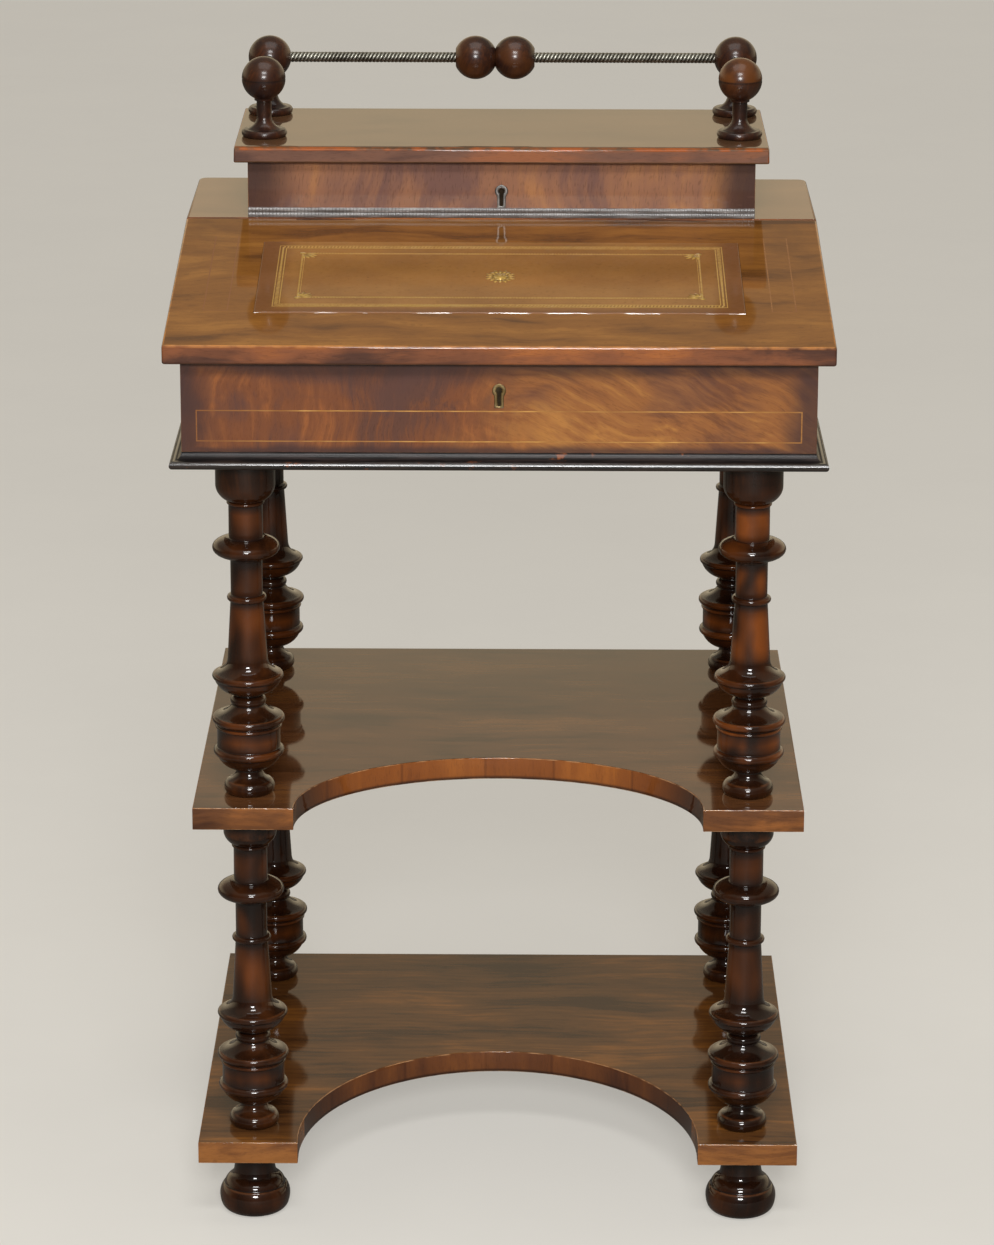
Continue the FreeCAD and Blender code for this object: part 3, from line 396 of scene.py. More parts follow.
def makeRosewood():
    shader, where = newSurface("rosewood", 0.38, 0.7, 0.20, 0.0, 0.15)
    vector = turned(where, (2.5, 2.5, 2.5), (0, 70, 20))
    grain = grainOn(vector, turnedTones["rosewood"], 1.2, 0.8, 0.02, 0.5)
    warm = fade(cloudy(where, 40.0, 2.0), 0.40, 0.62, attributeOf(where, "glow"))
    color = mixed(warm, grain["Color"], turnedTones["warm"])
    # darker in the hollow corners of the turning
    color = mixed(times(attributeOf(where, "hollow"), 0.75), color, turnedTones["dirt"])
    joinSurface(shader, color, grain["Roughness"], grain["Height"], 0.10, 0.12)


# gloss, coat, specular, dark, light
ebonisedLooks = {
    "ebonised": (0.085, 1.0, 0.4, (0.008, 0.0065, 0.006), (0.024, 0.015, 0.011)),
    "hollowBlack": (0.35, 0.22, 0.1, (0.010, 0.008, 0.008), (0.026, 0.018, 0.017)),
    # the reed's grey tones are a painted sheen on black wood
    "reedBlack": (0.36, 1.0, 1.0, (0.105, 0.095, 0.090), (0.23, 0.21, 0.20)),
}


def makeEbonised(name, gloss, coat, specular, dark, light):
    shader, where = newSurface(name, 0.32, coat, gloss, 0.0, specular)
    streak = cloudy(turned(where, (1, 12, 12)), 30.0, 3.0)
    color = mixed(fade(streak, 0.42, 0.64), dark, light)
    chips = fade(cloudy(where, 42.0, 4.0, 0.6), 0.66, 0.72, 0.8)
    color = mixed(chips, color, (0.26, 0.075, 0.022))
    joinSurface(shader, color, scaled(streak, 0.2, 0.22), streak, 0.15, 0.12)


leatherTones = {"dark": (0.255, 0.110, 0.025), "light": (0.345, 0.158, 0.038), "rim": (0.155, 0.052, 0.014),
                "crease": (0.05, 0.02, 0.008)}


def makeLeather():
    shader, where = newSurface("leather", 0.5, 0.75, 0.09, 0.0, 0.2)
    tone = fade(cloudy(where, 9.0, 4.0, 0.6), 0.34, 0.66)
    color = mixed(tone, leatherTones["dark"], leatherTones["light"])
    wander = wavering(where, 0.016, 22.0, 3.0)
    ends = fade(plus(sizeOf(axisOf(where, 0)), wander), 0.172, 0.190, 0.75)
    front = fade(plus(axisOf(where, 1), wander), -0.143, -0.158, 0.75)
    color = mixed(larger(ends, front), color, leatherTones["rim"])
    pebble = shade("TexVoronoi", {"Vector": where, "Scale": 820.0}, feature="SMOOTH_F1")
    creases = cloudy(where, 260.0, 4.0, 0.65)
    height = scaled(pebble, 0.6, times(creases, 0.8))
    color = mixed(fade(creases, 0.58, 0.74, 0.35), color, leatherTones["crease"])
    joinSurface(shader, color, scaled(creases, 0.25, 0.34), height, 0.35, 0.12)


# dark, light, roughness, spread of roughness, spots, tone of the grooves
metalLooks = {
    "agedBrass": ((0.34, 0.235, 0.10), (0.66, 0.50, 0.25), 0.36, 0.25, 0.4),
    "hingeBrass": ((0.10, 0.060, 0.026), (0.27, 0.175, 0.070), 0.42, 0.25, 0.6),
    "dullSteel": ((0.10, 0.10, 0.095), (0.25, 0.25, 0.24), 0.40, 0.25, 0.5),
    "rodMetal": ((0.24, 0.23, 0.195), (0.44, 0.43, 0.37), 0.42, 0.2, 0.12, (0.035, 0.031, 0.024)),
    "paleSteel": ((0.15, 0.15, 0.145), (0.44, 0.43, 0.41), 0.48, 0.25, 0.5),
    # the next two looks are painted shade for the dark sheets inside the keyholes
    "dimBrass": ((0.035, 0.026, 0.016), (0.10, 0.075, 0.042), 0.55, 0.2, 0.3),
    "sootyIron": ((0.014, 0.010, 0.007), (0.045, 0.032, 0.02), 0.6, 0.2, 0.3),
}


def makeMetal(name, dark, light, roughness, spread, spots, grooves=None):
    shader, where = newSurface(name, roughness, 0.0, 0.1, 1.0, 0.5)
    color = mixed(fade(cloudy(where, 75.0, 4.0, 0.6), 0.34, 0.66), dark, light)
    if grooves:
        color = mixed(fade(attributeOf(where, "tip"), 0.15, 0.85), grooves, color)
    stain = [0.3 * tone + 0.7 * soot for tone, soot in zip(dark, (0.02, 0.015, 0.01))]
    color = stainedColor(turned(where, (5, 5, 5)), color, stain, spots)
    scratch = cloudy(turned(where, (1, 9, 3)), 420.0, 3.0, 0.6)
    rough = scaled(scratch, spread, roughness - 0.5 * spread)
    joinSurface(shader, color, rough, scratch, 0.12, 0.08)


def makeGold():
    shader, where = newSurface("toolingGold", 0.38, 0.0, 0.1, 0.0, 0.5)
    rubbed = cloudy(where, 240.0, 3.0, 0.65)
    worn = fade(scaled(cloudy(where, 30.0, 2.0), 0.5, rubbed), 0.76, 0.92, 0.8)
    color = mixed(worn, (0.57, 0.36, 0.085), (0.40, 0.22, 0.050))
    joinSurface(shader, color, scaled(worn, 0.2, 0.34), rubbed, 0.2, 0.05, scaled(worn, -0.4, 0.4))


# dark, light, share that is lost
boxwoodLooks = {
    "boxwood": ((0.40, 0.175, 0.042), (0.60, 0.31, 0.085), 0.6),
    "fadedBoxwood": ((0.28, 0.120, 0.032), (0.40, 0.19, 0.055), 0.9),
}


def makeBoxwood(name, dark, light, lost):
    shader, where = newSurface(name, **polish)
    x = axisOf(where, 0)
    lengthwise = cloudy(turned(where, (1, 10, 10)), 60.0, 3.0)
    color = mixed(fade(lengthwise, 0.35, 0.65), dark, light)
    faded = fade(cloudy(where, 16.0, 2.0), 0.46, 0.66, lost)
    dimLeft = fade(x, -0.150, -0.236, 0.9)
    dimRight = fade(x, 0.205, 0.228, 0.54)
    faded = larger(faded, larger(dimLeft, dimRight))
    color = mixed(faded, color, (0.24, 0.09, 0.030))
    joinSurface(shader, color, scaled(lengthwise, 0.2, 0.3), lengthwise, 0.1, 0.05)


for name, look in walnutLooks.items():
    makeWalnut(name, look)
for maker, looks in ((makeBiteVeneer, biteLooks), (makeEbonised, ebonisedLooks),
                     (makeBoxwood, boxwoodLooks), (makeMetal, metalLooks)):
    for name, look in looks.items():
        maker(name, *look)
for maker in (makeCaseVeneer, makeTurnedWalnut, makeRosewood, makeLeather, makeGold):
    maker()
print("materials:", len(surfaces))


# finished pieces
def pieceName(node):
    first, *rest = node.split("_")
    return first + "".join(part.capitalize() for part in rest)


def middleOf(node):
    return [(low + high) / 2 for low, high in zip(*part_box(node))]


def newPiece(name, mesh, *sheets):
    obj = bpy.data.objects.new(name, mesh)
    scene.collection.objects.link(obj)
    for sheet in sheets:
        mesh.materials.append(surfaces[sheet])
    return obj


def standFor(obj, node):
    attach(obj, bodyOf[node])
    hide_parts(node)
    dressed.add(node)


def addTrim(obj, node):
    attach(obj, bodyOf[node])


def meshFrom(bm, name, sharpAngle=None):
    mesh = bpy.data.meshes.new(name)
    bm.to_mesh(mesh)
    bm.free()
    for extra in ("custom_normal", "curved"):
        if extra in mesh.attributes:
            mesh.attributes.remove(mesh.attributes[extra])
    if sharpAngle:  # marking smooths every face, so flat ones are set again
        flat = [polygon.index for polygon in mesh.polygons if not polygon.use_smooth]
        mesh.set_sharp_from_angle(angle=radians(sharpAngle))
        for index in flat:
            mesh.polygons[index].use_smooth = False
    return mesh


def circle(count):
    return [2 * pi * index / count for index in range(count)]


def skin(bm, rows, smooth=True):
    for lower, upper in zip(rows, rows[1:]):
        for index in range(len(lower)):
            after = (index + 1) % len(lower)
            bm.faces.new((lower[index], lower[after], upper[after], upper[index])).smooth = smooth


def closeEnds(bm, rows, smooth=False):
    for loop in (rows[-1], rows[0][::-1]):
        bm.faces.new(loop).smooth = smooth


# angles in degrees, lengths in millimetres
shaping = {"weld": 0.004, "flat": 0.3, "curve": (0.35, 32), "narrow": 4.0, "level": 0.988, "outline": 0.25,
           "square": 35, "bevelSteps": 3, "sharp": 38, "sharpTurned": 75, "sharpRim": 50,
           "sharpLeather": 12, "straight": 0.05, "flush": 0.02}


def cadShape(node):
    bm = bmesh.new()
    bm.from_mesh(cadNodes[node].data)
    bmesh.ops.remove_doubles(bm, verts=bm.verts, dist=shaping["weld"] * mm)
    bm.normal_update()
    return bm


def outlineEdges(bm):
    places = [vert.co for vert in bm.verts]
    limits = [(axis, pick(place[axis] for place in places)) for axis in range(3) for pick in (min, max)]
    chosen = []
    for edge in bm.edges:
        first, second = (vert.co for vert in edge.verts)
        gaps = [max(abs(first[axis] - limit), abs(second[axis] - limit)) for axis, limit in limits]
        square = edge.is_convex and edge.calc_face_angle(0.0) > radians(shaping["square"])
        if square and sum(gap < shaping["outline"] * mm for gap in gaps) >= 2:
            chosen.append(edge)
    return chosen


def boardCopy(node, sheets, pickSheet, bevel=0.0, wornRounds=False, reshape=None):
    bm = cadShape(node)
    bmesh.ops.dissolve_limit(bm, angle_limit=radians(shaping["flat"]), verts=bm.verts, edges=bm.edges)
    if reshape:
        reshape(bm)
    bm.normal_update()
    arris = bm.faces.layers.float.new("arris")
    curved = bm.faces.layers.int.new("curved")
    least, most = (radians(angle) for angle in shaping["curve"])
    for face in bm.faces:
        narrow = face.calc_area() < shaping["narrow"] * mm * max(edge.calc_length() for edge in face.edges)
        face[curved] = narrow and any(least < edge.calc_face_angle(0.0) < most for edge in face.edges)
        face.material_index = pickSheet(face.calc_center_median(), face.normal)
        if wornRounds and face.normal.z > 0 and max(abs(part) for part in face.normal) < shaping["level"]:
            face[arris] = 1.0
    if bevel:
        made = bmesh.ops.bevel(bm, geom=outlineEdges(bm), offset=bevel * mm, offset_type="OFFSET",
                               segments=shaping["bevelSteps"], profile=0.5, affect="EDGES",
                               clamp_overlap=True, material=-1)
        for face in made["faces"]:
            face[arris] = 1.0
            face[curved] = 1
    for face in bm.faces:
        face.smooth = bool(face[curved])
    name = pieceName(node)
    standFor(newPiece(name, meshFrom(bm, name, shaping["sharp"]), *sheets), node)


def neighbours(loop):
    return zip(loop[-1:] + loop, loop, loop[1:] + loop[:1])


def outerLoop(node, height):
    def isTop(face):
        return face.normal.z > 0.9 and abs(face.calc_center_median().z - height) < 1e-5

    bm = cadShape(node)
    links = {}
    for edge in bm.edges:
        tops = [isTop(face) for face in edge.link_faces]
        if len(tops) == 2 and tops[0] != tops[1]:
            for first, second in (edge.verts, reversed(edge.verts)):
                links.setdefault(first.index, []).append(second.index)
    spots = [vert.co.xy.copy() for vert in bm.verts]
    bm.free()
    loops = []
    while links:
        loop = [next(iter(links))]
        while links.get(loop[-1]):
            following = links[loop[-1]].pop()
            links[following].remove(loop[-1])
            loop.append(following)
        links = {index: left for index, left in links.items() if left}
        loops.append([spots[index] for index in loop[:-1]])
    loop = max(loops, key=lambda points: max(point.x for point in points) - min(point.x for point in points))
    if sum(a.x * b.y - a.y * b.x for a, b in zip(loop, loop[1:] + loop[:1])) < 0:
        loop.reverse()
    kept = []
    for before, point, after in neighbours(loop):
        arriving = point - before
        if arriving.length > 1e-6 and arriving.angle(after - point) > radians(shaping["straight"]):
            kept.append(point)
    return kept


# sheets of a shelf: top, bite, edge, underside
boards = {
    "shelves": {"lower_shelf": ["lowShelfWalnut", "lowBiteVeneer", "lowShelfEdge", "innerWood"],
                "middle_shelf": ["shelfWalnut", "biteVeneer", "shelfEdge", "innerWood"],
                "round": 0.7, "steps": 4, "biteHalf": 169.0, "frontEdge": -220.5},
    "writingLid": ["lidWalnut", "edgeWalnut", "innerWood"],
    "fixedFlat": {"sheets": ["flatWalnut", "edgeWalnut", "innerWood"], "bevel": 0.6},
    "stationeryLid": {"sheets": ["topWalnut", "lidEdge", "innerWood"], "round": 1.5,
                      "wornBack": 7.5, "wornDown": 2.6},
    "panels": {"case_front": (1, -1, "caseVeneer"), "case_back": (1, 1, "backWalnut"),
               "case_left_side": (0, -1, "sideWalnut"), "case_right_side": (0, 1, "sideWalnut"),
               "stationery_front": (1, -1, "boxWalnut"), "stationery_back": (1, 1, "backWalnut"),
               "stationery_left_side": (0, -1, "boxSide"), "stationery_right_side": (0, 1, "boxSide")},
    "panelBevel": 0.35, "bead": 6.9,
}


def shelfSheet(center, normal):
    look = boards["shelves"]
    if abs(normal.z) > 0.7:
        return 0 if normal.z > 0 else 3
    inBite = abs(center.x) < look["biteHalf"] * mm and center.y > look["frontEdge"] * mm
    return 1 if normal.y < -0.2 and inBite else 2


def shelfBoard(node):
    look = boards["shelves"]
    lowest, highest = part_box(node)
    loop = outerLoop(node, highest.z)
    inward = []
    for before, point, after in neighbours(loop):
        arriving, leaving = (point - before).normalized(), (after - point).normalized()
        middle = Vector((-arriving.y - leaving.y, arriving.x + leaving.x))
        inward.append(middle / (1 + arriving.dot(leaving)))
    rings = []
    radius = look["round"] * mm
    for index in range(look["steps"] + 1):
        angle = pi / 2 * index / look["steps"]
        rings.append((radius * (1 - sin(angle)), lowest.z + radius * (1 - cos(angle))))
    rings += [(inset, lowest.z + highest.z - z) for inset, z in reversed(rings)]
    bm = bmesh.new()
    arris = bm.faces.layers.float.new("arris")
    rows = []
    for inset, z in rings:
        rows.append([bm.verts.new((*(point + turn * inset), z)) for point, turn in zip(loop, inward)])
    skin(bm, rows)
    for index, face in enumerate(bm.faces):
        face[arris] = 0.0 if index // len(loop) == look["steps"] else 1.0
    closeEnds(bm, rows)
    bm.normal_update()
    for face in bm.faces:
        face.material_index = shelfSheet(face.calc_center_median(), face.normal)
    name = pieceName(node)
    standFor(newPiece(name, meshFrom(bm, name, shaping["sharp"]), *look[node]), node)


def lidSheet(center, normal):
    return 0 if normal.z > 0.7 else 2 if normal.z < -0.7 else 1


def boxLidSheet(center, normal):
    return 0 if normal.z > 0.3 else 2 if normal.z < -0.03 else 1


def baseSheet(center, normal):
    low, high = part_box("base_board")
    if normal.z < -0.9 or (normal.z > 0.9 and center.z > high.z - 0.5 * mm):
        return 1
    return 2 if center.z > low.z + boards["bead"] * mm else 0


def rubFront(bm):
    look = boards["stationeryLid"]
    low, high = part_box("stationery_lid")
    for vert in bm.verts:
        back = (vert.co.y - low.y) / (look["round"] * mm)
        down = (high.z - vert.co.z) / (look["round"] * mm)
        if back < 1.02 and down < 1.02:
            vert.co.y = low.y + back * look["wornBack"] * mm
            vert.co.z = high.z - down * look["wornDown"] * mm


def makeBoards():
    for node in ("lower_shelf", "middle_shelf"):
        shelfBoard(node)
    boardCopy("writing_lid", boards["writingLid"], lidSheet, wornRounds=True)
    boardCopy("fixed_flat", boards["fixedFlat"]["sheets"], lidSheet, boards["fixedFlat"]["bevel"])
    sheets = boards["stationeryLid"]["sheets"]
    boardCopy("stationery_lid", sheets, boxLidSheet, wornRounds=True, reshape=rubFront)
    for node, (axis, sign, sheet) in boards["panels"].items():

        def panelSheet(center, normal, axis=axis, sign=sign):
            return 0 if normal[axis] * sign > 0.7 else 1

        boardCopy(node, [sheet, "innerWood"], panelSheet, boards["panelBevel"])
    boardCopy("base_board", ["ebonised", "innerWood", "hollowBlack"], baseSheet)


makeBoards()
print("boards done")


def arcSteps(start, end, bow, step=1.5, straightStep=6, least=6):
    chord = end - start
    length = chord.length
    if abs(bow) < 1e-6 or length < 1e-6:
        count = max(1, int(length / straightStep))
        return [start + chord * (index / count) for index in range(1, count + 1)]
    angle = 4 * atan(2 * bow / length)
    radius = length / 2 / sin(angle / 2)
    outward = Vector((chord.y, -chord.x)) / length
    centre = (start + end) / 2 + outward * (bow - radius)
    count = max(least, int(abs(angle * radius) / step))
    first = start - centre
    points = []
    for index in range(1, count + 1):
        turn = angle * index / count
        points.append(centre + Vector((first.x * cos(turn) - first.y * sin(turn),
                                       first.x * sin(turn) + first.y * cos(turn))))
    return points


def ovalSteps(start, end, reach, count=14):
    points = []
    for index in range(1, count + 1):
        turn = pi * index / count
        share = (1 - cos(turn)) / 2
        points.append(start + (end - start) * share + Vector((reach * sin(turn), 0)))
    return points


def profileOf(start, steps, soft=0.45, leastBend=14):
    here = Vector((start, 0.0))
    points = [(here, steps[0][3])]
    joins = []
    for rise, radius, bow, glow in steps:
        end = Vector((radius, here.y + rise))
        stepped = ovalSteps(here, end, bow[0]) if isinstance(bow, tuple) else arcSteps(here, end, bow)
        for index, point in enumerate(stepped, 1):
            middle = sin(pi * index / len(stepped)) if bow == 0 and len(stepped) > 2 else 0.7
            points.append((point, glow * (0.3 + middle)))  # straight parts glow in their middle
        joins.append(len(points) - 1)
        here = end
    rounded = []
    for index, (point, glow) in enumerate(points):
        if index in joins and 0 < index < len(points) - 1:
            before = points[index - 1][0] - point
            after = points[index + 1][0] - point
            bend = degrees(before.angle(-after)) if before.length and after.length else 0
            if bend > leastBend:
                first = point + before.normalized() * min(soft, before.length * soft)
                last = point + after.normalized() * min(soft, after.length * soft)
                mark = 1.0 if before.x * after.y - before.y * after.x < 0 else -1.0
                rounded.append((first, glow, mark))
                rounded.append(((first + last + point * 2) / 4, glow, mark))
                rounded.append((last, points[index + 1][1], mark))
                continue
        rounded.append((point, glow, 0.0))
    return rounded


def lathe(name, axis, base, profile, sheet, segments=72, along="z"):
    bm = bmesh.new()
    layers = [bm.verts.layers.float.new(label) for label in ("glow", "arris", "hollow")]
    rows = []
    for point, glow, mark in profile:
        rows.append([])
        for turn in circle(segments):
            across, away = point.x * cos(turn) * mm, point.x * sin(turn) * mm
            place = (axis[0] + across, axis[1] + away, base + point.y * mm)
            vert = bm.verts.new(place if along == "z" else (place[2], *place[:2]))
            for layer, value in zip(layers, (glow, max(mark, 0.0), max(-mark, 0.0))):
                vert[layer] = value
            rows[-1].append(vert)
    skin(bm, rows)
    closeEnds(bm, rows, True)
    return newPiece(name, meshFrom(bm, name, shaping["sharpTurned"]), sheet)


# steps: rise, end radius, bow (in brackets for an oval), glow
turnings = {
    "leg": {"start": 18.4, "steps": [
        (11, 18.4, 2.8, 0.1), (9.7, 10.8, -2.0, 0.0), (12.7, 26.6, 2.8, 0.2), (7, 26.3, 3.0, 0.6),
        (16.6, 26.3, 0, 0.9), (3, 26.3, 1.4, 0.7), (2.2, 28.8, -0.7, 0.1), (5.5, 28.6, 1.5, 0.5),
        (9.6, 13.6, -2.4, 0.05), (7.5, 10.8, 2.6, 0.05), (1.8, 10.8, 0, 0.0), (13, 28, 3.4, 0.3),
        (5, 28, 1.6, 0.35), (12, 16.6, -3.0, 0.1), (50.1, 13.6, 0, 0.85), (5.4, 13.2, 3.0, 0.3),
        (29.7, 13.2, 0, 0.65), (2.4, 13.4, 1.2, 0.2), (16.4, 14.2, (14.1,), 0.3)]},
    "lower_leg": {"shaft": 250.5, "ending": [
        (2.8, 14.2, 1.5, 0.3), (9.7, 22.3, 1.6, 0.1), (17.0, 22.5, 0, 0.0)]},
    "upper_leg": {"shaft": 249.5, "ending": [
        (2.8, 14.2, 1.5, 0.3), (5.7, 21.8, 0.7, 0.1), (7.5, 24.6, 0.6, 0.1), (26.5, 24.6, 0, 0.0)]},
    "warmth": {"foot": (0.6, 0.4), "lower_leg": (0.6, 0.4), "upper_leg": (0.75, 1.25)},
    "foot": {"start": 22.0, "steps": [
        (5, 28.3, 0.9, 0.2), (8, 30, 0.35, 0.3), (10, 27, 0.9, 0.2), (0.8, 26, 0, 0.0), (7, 20.8, 0.9, 0.1),
        (0.7, 20, 0, 0.0), (4.5, 17.8, -0.3, 0.0), (14, 17, -0.5, 0.0), (8.9, 20.5, -0.8, 0.0)]},
    "finial": {"start": 17.8, "ball": 18.8, "ballHeight": 50, "points": 44, "scribe": 0.28,
               "scribeReach": 1.6, "warm": (0.15, 0.85), "dim": 0.2, "tip": 0.35, "segments": 64, "steps": [
        (6.5, 17.8, 1.8, 0.0), (0.01, 15, 0, 0.0), (13.5, 6.4, -3, 0.0), (11.083, 6.4, 0, 0.0),
        (0.01, 8.2, 0, 0.0), (2, 8.2, 0, 0.0)]},
    "bead": {"radius": 19, "length": 34.6, "bore": 4.5, "points": 40, "glow": 0.45, "boreGlow": 0.3,
             "segments": 64},
}


def legProfile(kind):
    steps = list(turnings["leg"]["steps"])
    steps.append((turnings[kind]["shaft"] - sum(step[0] for step in steps), 14.1, 0, 0.8))
    return profileOf(turnings["leg"]["start"], steps + turnings[kind]["ending"])


def makeStand():
    profiles = {"foot": profileOf(turnings["foot"]["start"], turnings["foot"]["steps"])}
    profiles.update({kind: legProfile(kind) for kind in ("lower_leg", "upper_leg")})
    bases = {"foot": 0.0, "lower_leg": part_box("lower_shelf")[1].z, "upper_leg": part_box("middle_shelf")[1].z}
    for corner in deskCorners:
        axis = middleOf(corner + "_foot")
        for kind, profile in profiles.items():
            warmth = turnings["warmth"][kind][corner.endswith("right")]
            name = pieceName("turned_" + corner + "_" + kind)
            warmer = [(point, glow * warmth, mark) for point, glow, mark in profile]
            standFor(lathe(name, axis, bases[kind], warmer, "turnedWalnut"), corner + "_" + kind)


def makeFinial(corner, warm):
    look = turnings["finial"]
    radius, centre, count = look["ball"], look["ballHeight"], look["points"]
    opening = asin((sum(step[0] for step in look["steps"]) - centre) / radius)
    profile = profileOf(look["start"], look["steps"])
    for index in range(1, count):
        angle = opening + (pi / 2 - opening) * index / count
        nearMiddle = abs(degrees(angle)) < look["scribeReach"]
        scribed = look["scribe"] if corner.startswith("front") and nearMiddle else 0.0
        point = Vector(((radius - scribed) * cos(angle), centre + (radius - scribed) * sin(angle)))
        # the upper half of each ball takes the full glow and the lower half a smaller share: painted light on
        # top, painted shade below
        profile.append((point, warm if angle > 0 else look["dim"] * warm, -1.0 if scribed else 0.0))
    profile.append((Vector((look["tip"], centre + radius)), warm, 0.0))
    node = corner + "_finial"
    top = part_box("stationery_lid")[1].z
    name = pieceName("finial_" + corner)
    standFor(lathe(name, middleOf(node), top, profile, "rosewood", look["segments"]), node)


def makeBead(side):
    look = turnings["bead"]
    node = "gallery_" + side + "_bead"
    half = look["length"] / 2
    limit = asin(half / look["radius"])
    profile = [(Vector((look["bore"], 0.0)), look["boreGlow"], 0.0)]
    for index in range(look["points"] + 1):
        angle = -limit + 2 * limit * index / look["points"]
        point = Vector((look["radius"] * cos(angle), half + look["radius"] * sin(angle)))
        profile.append((point, look["glow"], 0.0))
    profile.append((Vector((look["bore"], look["length"])), look["boreGlow"], 0.0))
    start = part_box(node)[0].x
    name = pieceName("bead_" + side)
    standFor(lathe(name, middleOf(node)[1:], start, profile, "rosewood", look["segments"], "x"), node)


makeStand()
for corner in deskCorners:
    makeFinial(corner, turnings["finial"]["warm"][corner == "front_right"])
for side in ("left", "right"):
    makeBead(side)
print("turned pieces done")


# lid surface: x across, s up the slope from the front edge, h above the lid
leatherSheet = {"proud": 0.9, "facet": 0.66, "lean": 23.7, "steps": 80, "rounds": 6, "gap": 0.45,
                "frontMargin": 74.0, "length": 168.0, "thick": 1.2, "uneven": 0.16, "ends": 1.3,
                "pitches": (0.11, 0.29, 0.47), "phase": 40, "middle": 0.15, "calm": 8, "tuck": 0.02}
upSlope = Vector((0, cos(slope), sin(slope)))
offLid = Vector((0, -sin(slope), cos(slope)))
leatherLow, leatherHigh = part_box("writing_leather")
leatherCorner = Vector((0, leatherLow.y, leatherLow.z + leatherSheet["thick"] * mm * cos(slope)))
lidFront = leatherCorner - upSlope * leatherSheet["frontMargin"] * mm


def onLid(x, s, h):
    return lidFront + Vector((x * mm, 0, 0)) + upSlope * (s * mm) + offLid * (h * mm)


def makeLeatherSheet():
    look = leatherSheet
    half = leatherHigh.x / mm - look["gap"]
    near = look["frontMargin"] + look["gap"]
    far = look["frontMargin"] + look["length"] - look["gap"]
    bm = bmesh.new()
    lean = radians(look["lean"])
    inset = look["facet"] * tan(lean)
    radius = (look["proud"] - look["facet"]) / (1 - sin(lean))
    rings = [(0.0, -look["thick"] + look["tuck"]), (0.0, 0.0), (inset, look["facet"])]
    for index in range(1, look["rounds"] + 1):
        angle = lean + (pi / 2 - lean) * index / look["rounds"]
        back = inset + radius * (cos(lean) - cos(angle))
        rings.append((back, look["proud"] - radius * (1 - sin(angle))))
    loops = []
    for inset, height in rings:
        corners = [(-half + inset, near + inset), (half - inset, near + inset),
                   (half - inset, far - inset), (-half + inset, far - inset)]
        loop = []
        for index, (x, s) in enumerate(corners):
            nextX, nextS = corners[(index + 1) % 4]
            for step in range(look["steps"]):
                share = step / look["steps"]
                place = x + (nextX - x) * share
                wave = 0.0
                if index == 0 and inset > 0:  # the cut front edge isn't even
                    waves = [sin(place * pitch + pitch * look["phase"]) for pitch in look["pitches"]]
                    lift = look["ends"] * (place / half - look["middle"]) ** 2
                    wave = look["uneven"] * (sum(waves) / len(waves) + lift)
                    wave *= min(1.0, look["calm"] * share, look["calm"] * (1 - share))
                loop.append(bm.verts.new(onLid(place, s + (nextS - s) * share + wave, height)))
        loops.append(loop)
    skin(bm, loops)
    closeEnds(bm, loops)
    mesh = meshFrom(bm, "leatherSheet", shaping["sharpLeather"])
    standFor(newPiece("leatherSheet", mesh, "leather"), "writing_leather")


makeLeatherSheet()


def stripBox(bm, start, end, width, low, high):
    first, last = Vector(start), Vector(end)
    along = (last - first).normalized()
    across = Vector((-along.y, along.x)) * width / 2
    outline = [first - across, last - across, last + across, first + across]
    rows = [[bm.verts.new(onLid(point.x, point.y, height)) for point in outline] for height in (low, high)]
    skin(bm, rows, False)
    closeEnds(bm, rows)


def lineFrame(bm, half, near, far, width, low, high):
    reach = width / 2
    for s in (near, far):
        stripBox(bm, (-half - reach, s), (half + reach, s), width, low, high)
    for x in (-half, half):
        stripBox(bm, (x, near + reach), (x, far - reach), width, low, high)


def leafInto(bm, x, s, angle, length, width, low, high, points=8):
    along = Vector((cos(angle), sin(angle)))
    across = Vector((-along.y, along.x))
    top = bm.verts.new(onLid(x, s, high))
    ring = []
    for turn in circle(points):
        point = Vector((x, s)) + along * (length / 2 * cos(turn)) + across * (width / 2 * sin(turn))
        ring.append(bm.verts.new(onLid(point.x, point.y, low)))
    for index in range(points):
        bm.faces.new((ring[index], ring[(index + 1) % points], top)).smooth = True
    bm.faces.new(ring[::-1])


def newTree(name, inputs):
    inputs["Material"] = ["Material"]
    return newGroup(name, "GeometryNodeTree", inputs, {"Geometry": ["Geometry"]})


def closeTree(tree, geometry, given):
    whole = geo("RealizeInstances", {0: geometry})
    covered = geo("SetMaterial", {"Geometry": whole, "Material": given["Material"]})
    addNode(tree, "NodeGroupOutput", {0: covered})
    return tree


def bakeTree(name, tree, mesh, sheet, sizes, others):
    values = {key: size * mm for key, size in sizes.items()}
    values.update(others, Material=surfaces[sheet])
    holder = bpy.data.objects.new(name + "Source", mesh)
    scene.collection.objects.link(holder)
    modifier = holder.modifiers.new("build", "NODES")
    modifier.node_group = tree
    for item in tree.interface.items_tree:
        if item.in_out == "INPUT" and item.name in values:
            modifier[item.identifier] = values[item.name]
    graph = bpy.context.evaluated_depsgraph_get()
    baked = bpy.data.meshes.new_from_object(holder.evaluated_get(graph), depsgraph=graph)
    baked.name = name
    bpy.data.objects.remove(holder)
    return newPiece(name, baked)


